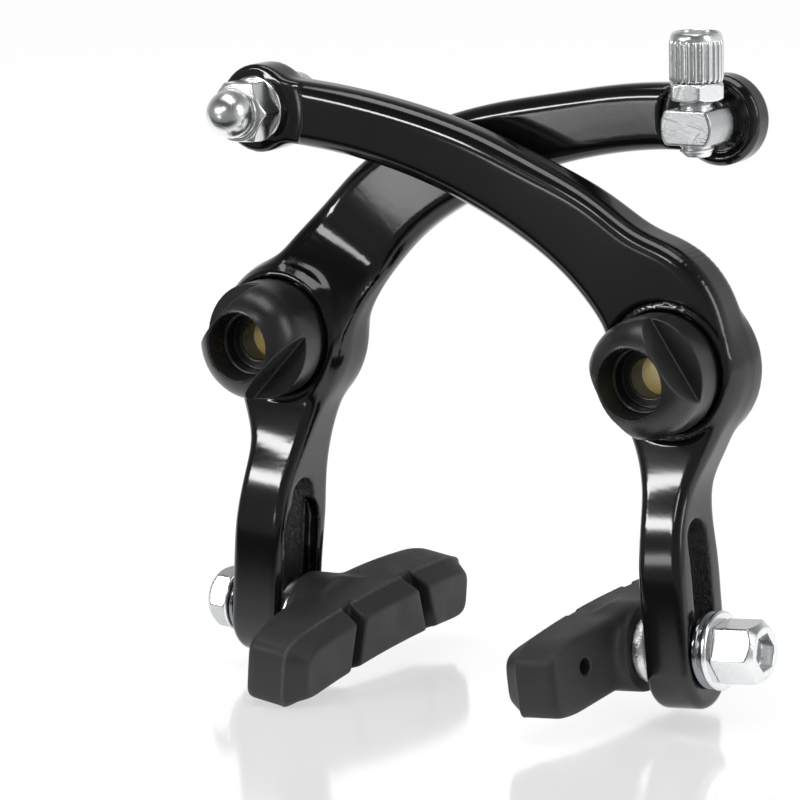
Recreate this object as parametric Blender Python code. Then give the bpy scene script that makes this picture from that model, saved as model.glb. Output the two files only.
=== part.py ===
"""Bicycle U-brake: two crossed cast arms on pivot sleeves, rubber pads, cable stop and cable anchor.

Lengths are in millimetres and are turned to metres when a mesh is made.  Row frame: X right,
Y away from the viewer along the pivot axes, Z up.  The origin lies midway between the pivots,
in the plane of the sleeves' rear faces, where the frame's two bosses meet them.
"""
import math

import bmesh
import bpy
from mathutils import Matrix, Vector

for stale in list(bpy.data.objects):
    bpy.data.objects.remove(stale, do_unlink=True)

MM = 0.001

# pivots
PIVOT_SPACING = 80.0
SEAT_DEPTH = 26.0          # cap front faces back to the sleeves' rear faces
SLEEVE_FLANGE = 2.0        # thickness of the sleeves' rear flanges
SLEEVE_PROUD = 0.4         # the flanges' front faces stand behind the bosses by this much
SLEEVE_R = 5.22
SLEEVE_BORE_R = 4.05
SLEEVE_FRONT = 9.6
LEFT_TURN = math.radians(0.6)   # the left arm rests this much more closed than the right one

# arm bosses, from their outside and rear inwards
BOSS_R = 13.7
BOSS_FLOOR = 2.2           # rear wall
BOSS_WALL = 3.4            # wall round the spring's cavity
SPRING_ROOM = 6.8          # cavity behind the cap's hub
SPRING_WIRE_R = 0.95
SPRING_CLEAR = 0.7
LIP_STEP = 2.3             # the lip round the cap is smaller than the boss by this much
POCKET_R = BOSS_R - 1.1
ARM_BORE_R = 5.3
CAVITY_R = BOSS_R - BOSS_WALL
CAVITY_HUB_R = 6.9
LIP_R = BOSS_R - LIP_STEP
BOSS_BACK = SEAT_DEPTH - SLEEVE_FLANGE - SLEEVE_PROUD
CAVITY_BACK = BOSS_BACK - BOSS_FLOOR

# tension caps, which fit into the bosses' lips
CAP_CLEAR = 0.85
CAP_HUB_CLEAR = 0.3
CAP_HUB_LENGTH = 2.7
CAP_MOUTH_R = 7.0
CAP_SOCKET_R = 5.9
CAP_STEP_R = 5.15
CAP_HOLE_R = 3.5
CAP_LEDGE = 6.0
CAP_FLAT = 7.2             # half the distance across the spanner flats
CAP_R = LIP_R - CAP_CLEAR
CAP_HUB_R = CAVITY_R - CAP_HUB_CLEAR
CAP_HUB_BACK = CAVITY_BACK - SPRING_ROOM
CAP_BACK = CAP_HUB_BACK - CAP_HUB_LENGTH
LIP_FRONT = CAP_BACK + 1.0
BOSS_FRONT = LIP_FRONT + 1.1

# eyes at the upper ends, seen from their own pivot
EYE_U = -83.5
EYE_Z = 40.9
EYE_R = 7.9
EYE_FACE_R = 10.4
FRONT_EYE = (12.2, 20.8)
REAR_EYE = (24.6, 31.8)
SPOT_DEPTH = 1.3

# tabs and slots, seen from the pivot
POST_U = 3.2
POST_Z = -49.2
POST_Y = 13.2
TAB_TILT = math.radians(4.7)
TAB_HALF = 4.5
TAB_EXTRA = {"right": 0.0, "left": 0.75}    # half of what the left tab is thicker inwards
TAB_END = 9.6             # post down to the tab's lower end
SLOT_HALF = 3.25
SLOT_TOP = -20.4           # slot's upper end centre, measured down from the post
SLOT_LOW = 1.5
RECESS_HALF = 6.4
RECESS_FLOOR = -3.9
SIDE_DROP = {"right": -0.7, "left": 1.0}

# pads
PAD_FRONT = -12.6
PAD_BACK = 46.6
PAD_HEIGHT = 13.0
PAD_THICK = 13.4
PAD_PART = 4.3             # depth of the braking block in front of the parting line
PAD_DRAFT = 1.9            # how much the block's top and bottom draw in towards its face
PAD_END_BEVEL = 2.4
PAD_RISE = {"right": 1.1, "left": -0.25}
PAD_SEAT_R = 7.6
PAD_SEAT_H = {"right": 1.5, "left": 2.3}
PAD_BEND_R = 260.0
PAD_ROLL = {"right": 0.0, "left": math.radians(4.0)}    # braking face turned down
PAD_PITCH = {"right": math.radians(2.6), "left": math.radians(4.8)}
GROOVE_W = 3.0
GROOVE_DEPTH = 4.0

# hardware on the posts, along the post outwards from the tab's middle
POST_R = 2.95
SPACER = (-7.4, -3.95, 6.1)
CUP = {"right": (4.55, 6.6, 6.8), "left": (4.55, 6.0, 6.1)}
FLANGE = {"right": (6.65, 7.6, 6.9), "left": (6.05, 6.75, 6.1)}
NUT = {"right": (7.65, 15.7), "left": (6.8, 11.2)}
NUT_SOCKET = 2.4           # depth of the nuts' hexagon sockets
NUT_AF = 10.0

# cable anchor on the front eye
ANCHOR_R = 2.95
ANCHOR_BORE_R = 3.05
DOME_R = 4.35
HEX_AF = 10.4

# cable stop on the rear eye
BLOCK_FRONT = 14.8
BLOCK_BACK = 23.4
BLOCK_R = 4.95
BLOCK_HALF = 3.05
PIN_R = 3.95
STOP_R = 2.95
BARREL_Y = 19.1
THREAD_R = 2.95
KNURL_R = 5.1
KNURL = (7.6, 16.1)
LOCK_NUT = (4.5, 7.5)
HOUSING_R = 3.05           # socket for the cable's outer casing
HOUSING_DEPTH = 10.4
FLUTES = 20

SEG = 44
FINE = 28                  # sides of the small hardware
HEX_SEG = 30               # sides of the turned blanks the hexagons are cut from


def side_matrix(side):
    """Arm coordinates (u outwards from the pivot, y depth, z up) to the row frame, in mm."""
    half = PIVOT_SPACING / 2
    if side == "right":
        return Matrix.Translation((half, -SEAT_DEPTH, 0.0))
    turn = Matrix.Rotation(LEFT_TURN, 4, 'Y')
    mirror = Matrix.Scale(-1.0, 4, (1.0, 0.0, 0.0))
    return Matrix.Translation((-half, -SEAT_DEPTH, 0.0)) @ mirror @ turn


def along_y(u, z):
    """Frame whose third axis runs back along Y through (u, z)."""
    return Matrix(((1, 0, 0, u), (0, 0, 1, 0), (0, 1, 0, z), (0, 0, 0, 1)))


def along_post(side):
    """Frame on the post: first axis back along Y, second down along the tab, third outwards."""
    drop = SIDE_DROP[side]
    out = Vector((math.cos(TAB_TILT), 0.0, math.sin(TAB_TILT)))
    down = Vector((math.sin(TAB_TILT), 0.0, -math.cos(TAB_TILT)))
    base = Vector((POST_U, POST_Y, POST_Z)) + down * drop
    return Matrix(((0.0, down.x, out.x, base.x), (1.0, 0.0, 0.0, base.y),
                   (0.0, down.z, out.z, base.z), (0.0, 0.0, 0.0, 1.0)))


def paint(name, colour, metallic, rough):
    mat = bpy.data.materials.get(name)
    if mat is None:
        mat = bpy.data.materials.new(name)
        mat.use_nodes = True
        shader = mat.node_tree.nodes["Principled BSDF"]
        shader.inputs["Base Color"].default_value = (*colour, 1.0)
        shader.inputs["Metallic"].default_value = metallic
        shader.inputs["Roughness"].default_value = rough
        mat.diffuse_color = (*colour, 1.0)
    return mat


LOOK = {
    "black_paint": ((0.012, 0.012, 0.013), 0.0, 0.12),
    "black_cap": ((0.02, 0.02, 0.021), 0.0, 0.2),
    "pad_rubber": ((0.03, 0.03, 0.032), 0.0, 0.6),
    "zinc": ((0.72, 0.73, 0.74), 1.0, 0.25),
    "dark_chrome": ((0.35, 0.36, 0.38), 1.0, 0.12),
    "sleeve_brass": ((0.76, 0.62, 0.3), 1.0, 0.3),
    "spring_steel": ((0.4, 0.4, 0.41), 1.0, 0.35),
}


def solid(name, verts, faces, frame, look, pivot=(0.0, 0.0, 0.0), wire=False):
    """Make one closed mesh object from points in a local frame; pivot is its origin in row mm."""
    pivot = Vector(pivot)
    mesh = bpy.data.meshes.new(name)
    mesh.from_pydata([tuple((frame @ Vector(v) - pivot) * MM) for v in verts], [], faces)
    work = bmesh.new()
    work.from_mesh(mesh)
    bmesh.ops.recalc_face_normals(work, faces=work.faces)
    work.to_mesh(mesh)
    work.free()
    obj = bpy.data.objects.new(name, mesh)
    obj.location = pivot * MM
    bpy.context.collection.objects.link(obj)
    if wire:
        obj.display_type = 'WIRE'
        obj.hide_render = True
    else:
        mesh.materials.append(paint(look, *LOOK[look]))
    return obj


def revolve(name, profile, frame, look, seg=SEG, pivot=(0, 0, 0), ripple=None, wire=False):
    """Turn a profile of (radius, height) points about the frame's third axis.

    A profile that starts and ends on the axis is solid, any other is closed into a ring.
    ripple = (first point, last point, count, depth) cuts flutes into a run of points.
    """
    solid_ends = profile[0][0] < 1e-6 and profile[-1][0] < 1e-6
    verts, rows = [], []
    for k, (r, h) in enumerate(profile):
        if r < 1e-6:
            rows.append([len(verts)])
            verts.append((0.0, 0.0, h))
            continue
        row = []
        for i in range(seg):
            a = 2 * math.pi * (i + 0.5) / seg
            cut = 0.0
            if ripple and ripple[0] <= k <= ripple[1]:
                cut = ripple[3] * (0.5 - 0.5 * math.cos(ripple[2] * a))
            row.append(len(verts))
            verts.append(((r - cut) * math.cos(a), (r - cut) * math.sin(a), h))
        rows.append(row)
    pairs = list(zip(rows[:-1], rows[1:]))
    if not solid_ends:
        pairs.append((rows[-1], rows[0]))
    faces = []
    for low, high in pairs:
        for i in range(seg):
            j = (i + 1) % seg
            if len(low) == 1 and len(high) == 1:
                continue
            if len(low) == 1:
                faces.append((low[0], high[i], high[j]))
            elif len(high) == 1:
                faces.append((low[i], low[j], high[0]))
            else:
                faces.append((low[i], low[j], high[j], high[i]))
    return solid(name, verts, faces, frame, look, pivot, wire)


def loft(name, loops, frame, look, pivot=(0, 0, 0), wire=False):
    """Skin a row of loops that have equal counts and cap both ends."""
    verts = [p for loop in loops for p in loop]
    n = len(loops[0])
    faces = [tuple(range(n)), tuple(range((len(loops) - 1) * n, len(loops) * n))]
    for k in range(len(loops) - 1):
        for i in range(n):
            j = (i + 1) % n
            faces.append((k * n + i, k * n + j, (k + 1) * n + j, (k + 1) * n + i))
    return solid(name, verts, faces, frame, look, pivot, wire)


def prism(name, outline, low, high, frame, look=None, pivot=(0, 0, 0), wire=True):
    """Extrude an outline of (a, b) points from low to high along the frame's third axis."""
    loops = [[(a, b, h) for a, b in outline] for h in (low, high)]
    return loft(name, loops, frame, look, pivot, wire)


def rounded_box(half_a, half_b, r, steps=3):
    """Outline of a rectangle with round corners."""
    pts = []
    for ca, cb, start in ((1, 1, 0), (-1, 1, 90), (-1, -1, 180), (1, -1, 270)):
        for i in range(steps + 1):
            t = math.radians(start + 90 * i / steps)
            pts.append((ca * (half_a - r) + r * math.cos(t), cb * (half_b - r) + r * math.sin(t)))
    return pts


def hexagon(across, turn=0.0):
    corner = across / 2 / math.cos(math.pi / 6)
    return [(corner * math.cos(turn + math.pi * k / 3), corner * math.sin(turn + math.pi * k / 3))
            for k in range(6)]


def slot_outline(half, start, end, steps=10):
    """Round-ended slot along the frame's second axis."""
    low = [(half * math.cos(math.pi * (1 + i / steps)), start + half * math.sin(math.pi * (1 + i / steps)))
           for i in range(steps + 1)]
    high = [(half * math.cos(math.pi * i / steps), end + half * math.sin(math.pi * i / steps))
            for i in range(steps + 1)]
    return low + high


def join(target, tool, how):
    mod = target.modifiers.new(how.lower(), 'BOOLEAN')
    mod.operation = how
    mod.solver = 'EXACT'
    mod.object = tool
    return mod


def cut(target, *tools):
    for tool in tools:
        join(target, tool, 'DIFFERENCE')


def smooth_rows(rows, count):
    """Catmull-Rom points through the rows, spaced evenly by row number."""
    out = []
    last = len(rows) - 1
    for i in range(count):
        t = last * i / (count - 1)
        k = min(int(t), last - 1)
        f = t - k
        p0, p1, p2, p3 = (rows[max(0, min(last, k + d))] for d in (-1, 0, 1, 2))
        out.append([0.5 * (2 * b + (c - a) * f + (2 * a - 5 * b + 4 * c - d) * f * f
                           + (3 * b - a - 3 * c + d) * f ** 3)
                    for a, b, c, d in zip(p0, p1, p2, p3)])
    return out


def limb(name, rows, count, frame, look, pivot=(0, 0, 0), wire=False, tail=()):
    """Skin rounded-rectangle sections along a bent spine, with the tail's rows after it.

    Each row is (u, z, half width in the plane, front depth, back depth, corner radius).
    """
    pts = smooth_rows(rows, count) + list(tail)
    loops = []
    for i, (u, z, half, front, back, r) in enumerate(pts):
        a, b = pts[max(0, i - 1)], pts[min(len(pts) - 1, i + 1)]
        d = Vector((b[0] - a[0], b[1] - a[1])).normalized()
        side = Vector((-d.y, d.x))
        mid, deep = (front + back) / 2, (back - front) / 2
        r = min(r, half * 0.95, deep * 0.95)
        loops.append([(u + side.x * p, mid + q, z + side.y * p)
                      for p, q in rounded_box(half, deep, r)])
    return loft(name, loops, frame, look, pivot, wire)


def post_point(down, out=0.0):
    """A point on the tab's middle line, as (u, z)."""
    return (POST_U + math.sin(TAB_TILT) * down + math.cos(TAB_TILT) * out,
            POST_Z - math.cos(TAB_TILT) * down + math.sin(TAB_TILT) * out)


# spine of each upper arm from its eye to its pivot, and of the lower arm from pivot to tab
UPPER = {
    "right": [
        (EYE_U + 2.0, EYE_Z, 5.8, 12.2, 20.3, 2.0), (-74, 40.4, 5.8, 12.2, 20.3, 2.0),
        (-64, 39.2, 5.9, 12.2, 20.3, 2.0), (-52, 36.8, 6.1, 12.2, 20.3, 2.0),
        (-40, 33.2, 6.5, 12.2, 20.3, 2.0), (-29, 28.5, 6.8, 12.2, 21.0, 2.0),
        (-18.6, 23.2, 7.4, 12.2, 21.4, 2.2), (-9.3, 16.8, 8.7, 12.2, BOSS_BACK - 1.2, 2.5),
        (-1.5, 9.9, 12.1, 12.3, BOSS_BACK - 1.0, 3.0), (0, 0, 12.2, 12.6, BOSS_BACK - 1.2, 3.0)],
    "left": [
        (EYE_U + 2.0, EYE_Z + 0.1, 5.8, 24.6, 31.4, 2.0), (-74, 41.2, 5.8, 24.6, 31.4, 2.0),
        (-64, 40.4, 5.9, 24.6, 31.4, 2.0), (-52, 38.2, 6.1, 24.4, 31.4, 2.0),
        (-40, 34.6, 6.5, 24.0, 31.2, 2.0), (-29, 29.6, 6.8, 23.2, 30.6, 2.0),
        (-19, 23.5, 7.2, 21.8, 29.4, 2.2), (-10.8, 15.8, 8.6, 18.6, 26.4, 2.5),
        (-4.8, 7.6, 11.2, 15.6, BOSS_BACK - 1.0, 3.0), (0, 0, 12.2, 14.8, BOSS_BACK - 1.2, 3.0)],
}
TAB_FOOT = 7.3
LOWER = [
    (0.2, 1.5, 12.0, 14.6, BOSS_BACK - 0.8, 3.0), (0.2, -6.0, 11.2, 13.8, BOSS_BACK - 0.8, 3.0),
    (-0.1, -13.0, 7.8, 12.4, BOSS_BACK - 1.2, 2.8), (0.2, -19.5, 4.9, 10.6, 20.8, 2.2),
    (1.2, -26.0, 4.3, 7.6, 20.4, 1.8), (*post_point(-16.0), TAB_HALF, 6.1, 20.6, 1.6),
    (*post_point(-8.0), TAB_HALF, POST_Y - TAB_FOOT, POST_Y + TAB_FOOT, 1.6),
    (*post_point(2.5), TAB_HALF, POST_Y - TAB_FOOT, POST_Y + TAB_FOOT, 1.6)]


def lower_rows(side):
    """Sections from the boss down to the post, the left tab thicker on its inner side."""
    rows = []
    for u, z, half, front, back, r in LOWER:
        extra = TAB_EXTRA[side] * min(1.0, max(0.0, (-7.0 - z) / 9.0))
        deeper = extra * (1.0 + 1.2 * math.exp(-((z + 27.0) / 9.0) ** 2))
        rows.append((u - extra, z, half + extra, front, back + deeper, r))
    return rows


def foot_rows(side):
    """Sections that round the tab off below the post."""
    rows = []
    extra = TAB_EXTRA[side]
    for i in range(1, 9):
        a = math.pi / 2 * i / 9
        down = TAB_END - TAB_FOOT * (1 - math.sin(a))
        deep = TAB_FOOT * math.cos(a)
        thin = 0.35 * (i / 8) ** 2
        u, z = post_point(down)
        rows.append([u - extra, z, TAB_HALF + extra - thin, POST_Y - deep, POST_Y + deep + extra, 1.6])
    return rows


def arm(side):
    frame = side_matrix(side)
    pivot = frame @ Vector((0.0, SEAT_DEPTH, 0.0))
    eye = FRONT_EYE if side == "right" else REAR_EYE
    body = limb(side + "_arm", UPPER[side], 24, frame, "black_paint", pivot)
    lower = limb(side + "_arm_lower", lower_rows(side), 20, frame, None, wire=True,
                 tail=foot_rows(side))
    nominal = frame @ along_post(side) @ Matrix.Translation((0, -SIDE_DROP[side], 0))
    axis = frame @ along_y(0, 0)
    clear = revolve(side + "_arm_clear", [(0, 4.0), (POCKET_R, 4.0), (POCKET_R, BOSS_FRONT + 0.9),
                                          (BOSS_R - 2.4, BOSS_FRONT + 0.9), (BOSS_R - 2.4, 40.0), (0, 40.0)],
                    axis, None, wire=True)
    boss = revolve(side + "_arm_boss", [(LIP_R - 0.6, LIP_FRONT), (LIP_R - 0.2, LIP_FRONT),
                                        (LIP_R, LIP_FRONT + 0.2), (LIP_R + 0.1, BOSS_FRONT),
                                        (BOSS_R - 1.7, BOSS_FRONT), (BOSS_R - 1.2, BOSS_FRONT + 0.5),
                                        (BOSS_R - 0.6, BOSS_FRONT + 2.6), (BOSS_R, BOSS_BACK - 4.0),
                                        (BOSS_R, BOSS_BACK - 1.5), (BOSS_R - 0.5, BOSS_BACK - 0.5),
                                        (BOSS_R - 1.5, BOSS_BACK), (ARM_BORE_R, BOSS_BACK),
                                        (ARM_BORE_R, CAP_HUB_BACK + 1.0), (CAVITY_HUB_R, CAP_HUB_BACK + 1.0),
                                        (CAVITY_HUB_R, CAVITY_BACK), (CAVITY_R, CAVITY_BACK),
                                        (CAVITY_R, LIP_FRONT + 1.3)], axis, None, wire=True)
    eye_axis = frame @ along_y(EYE_U, EYE_Z)
    front = eye[0] + SPOT_DEPTH
    spot = revolve(side + "_arm_spot", [(0, eye[0] - 3), (EYE_FACE_R, eye[0] - 3),
                                        (EYE_FACE_R - 0.2, front), (EYE_R - 1.1, front),
                                        (EYE_R - 1.1, 40.0), (0, 40.0)],
                   eye_axis, None, seg=FINE, wire=True)
    if side == "right":
        face = [(ANCHOR_BORE_R, front - 0.04), (EYE_R - 0.2, front - 0.04), (EYE_R, front + 0.16)]
    else:
        face = [(ANCHOR_BORE_R, front + 0.7), (EYE_R - 2.1, front + 0.7), (EYE_R - 1.6, front - 0.04),
                (EYE_R - 0.9, front - 0.04), (EYE_R, front + 0.9)]
    knob = revolve(side + "_arm_eye", face + [(EYE_R, eye[1] - 1.6), (EYE_R - 0.5, eye[1] - 0.6),
                                              (EYE_R - 1.6, eye[1] - 0.05), (ANCHOR_BORE_R, eye[1] - 0.05)],
                   eye_axis, None, seg=FINE, wire=True)
    slot = prism(side + "_arm_slot", slot_outline(SLOT_HALF, SLOT_TOP, SLOT_LOW), -9, 9, nominal)
    recess = prism(side + "_arm_recess", slot_outline(RECESS_HALF, SLOT_TOP + 6.5, SLOT_LOW), -9,
                   RECESS_FLOOR, nominal)
    join(body, lower, 'UNION')
    cut(body, clear, spot)
    join(body, boss, 'UNION')
    join(body, knob, 'UNION')
    cut(body, slot, recess)
    return body


def sleeve(side):
    frame = side_matrix(side)
    profile = [(SLEEVE_BORE_R, SLEEVE_FRONT + 0.3), (SLEEVE_BORE_R + 0.3, SLEEVE_FRONT),
               (SLEEVE_R - 0.3, SLEEVE_FRONT), (SLEEVE_R, SLEEVE_FRONT + 0.3),
               (SLEEVE_R, BOSS_BACK + SLEEVE_PROUD), (SLEEVE_R + 1.9, BOSS_BACK + SLEEVE_PROUD),
               (SLEEVE_R + 1.9, SEAT_DEPTH), (SLEEVE_BORE_R, SEAT_DEPTH)]
    pivot = frame @ Vector((0.0, SEAT_DEPTH, 0.0))
    return revolve(side + "_pivot_sleeve", profile, frame @ along_y(0, 0), "sleeve_brass", pivot=pivot)


def tension_cap(side):
    frame = side_matrix(side)
    axis = frame @ along_y(0, 0)
    pivot = frame @ Vector((0.0, SEAT_DEPTH, 0.0))
    edge = CAP_MOUTH_R + 0.2
    dome = [(edge + share * (CAP_R - edge), y) for share, y in
            ((0.0, 0.15), (0.239, 0.75), (0.537, 1.9), (0.776, 3.4), (0.925, 5.0))]
    profile = [(CAP_SOCKET_R, 0.25), (CAP_SOCKET_R + 0.25, 0.0), (CAP_MOUTH_R - 0.2, 0.0), *dome,
               (CAP_R, CAP_LEDGE + 0.3), (CAP_R, CAP_BACK - 0.3), (CAP_R - 0.3, CAP_BACK),
               (CAP_HUB_R, CAP_BACK), (CAP_HUB_R, CAP_HUB_BACK), (ARM_BORE_R + 0.15, CAP_HUB_BACK),
               (ARM_BORE_R + 0.15, SLEEVE_FRONT - 0.1), (CAP_HOLE_R, SLEEVE_FRONT - 0.1),
               (CAP_HOLE_R, 7.2), (CAP_STEP_R, 7.2), (CAP_STEP_R, 4.0), (CAP_SOCKET_R, 4.0)]
    cap = revolve(side + "_tension_cap", profile, axis, "black_cap", pivot=pivot)
    lean = math.radians(-50 if side == "right" else -43)
    for k, turn in enumerate((0.0, math.pi)):
        spanner = axis @ Matrix.Rotation(lean + turn, 4, 'Z')
        block = prism(side + "_cap_flat_%d" % k, [(-15, CAP_FLAT), (15, CAP_FLAT), (15, 15), (-15, 15)],
                      -3.0, CAP_LEDGE, spanner)
        cut(cap, block)
    return cap


def coil_spring(side, turns=1.6):
    """Spring in its cavity, clear of the cavity's wall, the cap's hub and the floor."""
    wire_r = SPRING_WIRE_R
    r = CAVITY_R - SPRING_WIRE_R - SPRING_CLEAR
    low = CAP_HUB_BACK + 0.294 * SPRING_ROOM
    high = CAVITY_BACK - 0.176 * SPRING_ROOM
    frame = side_matrix(side) @ along_y(0, 0)
    pivot = side_matrix(side) @ Vector((0.0, SEAT_DEPTH, 0.0))
    steps, ring = int(turns * 16), 6
    loops = []
    for i in range(steps + 1):
        a = 2 * math.pi * turns * i / steps
        h = low + (high - low) * i / steps
        loops.append([((r + wire_r * math.cos(b)) * math.cos(a), (r + wire_r * math.cos(b)) * math.sin(a),
                       h + wire_r * math.sin(b)) for b in (2 * math.pi * k / ring for k in range(ring))])
    return loft(side + "_return_spring", loops, frame, "spring_steel", pivot)


def pad(side):
    """Rubber block on the post, bent to the rim, with grooves, seat and moulding hole."""
    frame = side_matrix(side) @ along_post(side)
    pivot = frame @ Vector((0, 0, 0))
    seat_h = PAD_SEAT_H[side]
    back = SPACER[0] - seat_h - 0.05
    hinge = Matrix.Translation((0, 0, back))
    tilt = hinge @ Matrix.Rotation(PAD_ROLL[side], 4, 'X') @ hinge.inverted()
    frame_p = frame @ Matrix.Rotation(-PAD_PITCH[side], 4, 'Z') @ tilt
    face = back - PAD_THICK
    part = face + PAD_PART
    middle = (PAD_FRONT + PAD_BACK) / 2 - POST_Y
    half = PAD_HEIGHT / 2
    loops = []
    count = 17
    for i in range(count):
        t = i / (count - 1)
        a = (PAD_FRONT - POST_Y) * (1 - t) + (PAD_BACK - POST_Y) * t
        end = min(t, 1 - t) * (PAD_BACK - PAD_FRONT)
        draw = 0.9 * max(0.0, 1 - end / 3.5) ** 2
        thin = 2.0 * (abs(t - 0.5) * 2) ** 2.2
        sag = (a - middle) ** 2 / (2 * PAD_BEND_R) - PAD_RISE[side]
        lo, hi = -half + draw, half - draw
        outer = back - thin
        loops.append([(a, sag + b, c) for b, c in (
            (lo + PAD_DRAFT + 0.7, face), (lo + PAD_DRAFT, face + 0.6), (lo + 0.3, part - 0.1),
            (lo, part + 0.2), (lo, outer - 1.2), (lo + 1.2, outer), (hi - 1.2, outer),
            (hi, outer - 1.2), (hi, part + 0.2), (hi - 0.3, part - 0.1),
            (hi - PAD_DRAFT, face + 0.6), (hi - PAD_DRAFT - 0.7, face))])
    body = loft(side + "_pad", loops, frame_p, "pad_rubber", pivot)
    seat = revolve(side + "_pad_seat", [(0, back - 4), (PAD_SEAT_R - 0.6, back - 4),
                                        (PAD_SEAT_R, back + seat_h - 0.5),
                                        (PAD_SEAT_R - 0.5, back + seat_h), (0, back + seat_h)],
                   frame, None, seg=FINE, wire=True)
    join(body, seat, 'UNION')
    hole = revolve(side + "_pad_hole", [(0, back - 6), (1.5, back - 6), (1.5, back + 4), (0, back + 4)],
                   frame_p @ Matrix.Translation((-17.2, -1.3, 0)), None, seg=24, wire=True)
    socket = revolve(side + "_pad_socket", [(0, back - 6.4), (POST_R + 0.06, back - 6.4),
                                            (POST_R + 0.06, back + 5), (0, back + 5)],
                     frame, None, seg=FINE, wire=True)
    cut(body, hole, socket)
    flat = frame_p @ Matrix(((1, 0, 0, 0), (0, 0, 1, 0), (0, 1, 0, 0), (0, 0, 0, 1)))
    for k, (end, way) in enumerate(((PAD_FRONT - POST_Y, -1), (PAD_BACK - POST_Y, 1))):
        wedge = [(end - way * PAD_END_BEVEL, face - 0.6), (end + way * 0.5, part - 0.1),
                 (end + way * 8, part - 0.1), (end + way * 8, face - 4),
                 (end - way * PAD_END_BEVEL, face - 4)]
        cut(body, prism(side + "_pad_end_%d" % k, wedge, -15, 15, flat))
    for k, (centre, lean) in enumerate(((middle - 9.5, 8.0), (middle + 15.0, -14.0))):
        place = frame_p @ Matrix.Translation((centre, 0, 0)) @ Matrix.Rotation(math.radians(lean), 4, 'Z')
        cut(body, prism(side + "_pad_groove_%d" % k,
                        [(-GROOVE_W / 2, -15), (GROOVE_W / 2, -15), (GROOVE_W / 2, 15), (-GROOVE_W / 2, 15)],
                        face - 3, face + GROOVE_DEPTH, place))
    return body


def pad_hardware(side):
    frame = side_matrix(side) @ along_post(side)
    pivot = frame @ Vector((0, 0, 0))
    back = SPACER[0] - 0.05 - PAD_SEAT_H[side]
    r = POST_R + 0.08
    revolve(side + "_pad_post", [(0, back - 6.0), (POST_R - 0.3, back - 6.0),
                                 (POST_R, back - 5.7), (POST_R, NUT[side][1] - NUT_SOCKET - 0.7),
                                 (POST_R - 0.4, NUT[side][1] - NUT_SOCKET - 0.3),
                                 (0, NUT[side][1] - NUT_SOCKET - 0.3)],
            frame, "zinc", seg=FINE, pivot=pivot)
    low, high, rad = SPACER
    revolve(side + "_pad_spacer", [(r, low), (rad - 0.3, low), (rad, low + 0.3), (rad, low + 1.2),
                                   (rad - 0.35, low + 2.2), (rad - 1.1, low + 3.0), (rad - 2.0, high),
                                   (r, high)], frame, "zinc", seg=FINE, pivot=pivot)
    low, high, rad = CUP[side]
    revolve(side + "_cup_washer", [(r, low), (rad - 0.5, low), (rad, low + 0.4), (rad - 0.1, low + 0.9),
                                   (rad - 0.5, low + 1.2), (rad - 1.3, high), (r, high)],
            frame, "dark_chrome", seg=FINE, pivot=pivot)
    low, high, rad = FLANGE[side]
    revolve(side + "_flange_washer", [(r, low), (rad - 0.2, low), (rad, low + 0.2), (rad, high - 0.3),
                                      (rad - 0.3, high), (r, high)], frame, "zinc", seg=FINE, pivot=pivot)
    low, high = NUT[side]
    floor = high - NUT_SOCKET
    corner = NUT_AF / 2 / math.cos(math.pi / 6)
    nut = revolve(side + "_pad_nut", [(r, low), (corner - 0.5, low), (corner, low + 0.3),
                                      (corner, high - 1.6), (corner - 1.6, high), (3.1, high),
                                      (2.75, high - 0.4), (2.75, floor), (r, floor - 0.1)],
                  frame, "zinc", seg=HEX_SEG, pivot=pivot)
    join(nut, prism(side + "_pad_nut_hex", hexagon(NUT_AF, math.radians(-6)), low - 2, high + 2, frame),
         'INTERSECT')
    socket = prism(side + "_pad_nut_socket", hexagon(5.9, math.radians(-6)), floor - 0.05,
                   high + 2, frame)
    cut(nut, socket)


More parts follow.
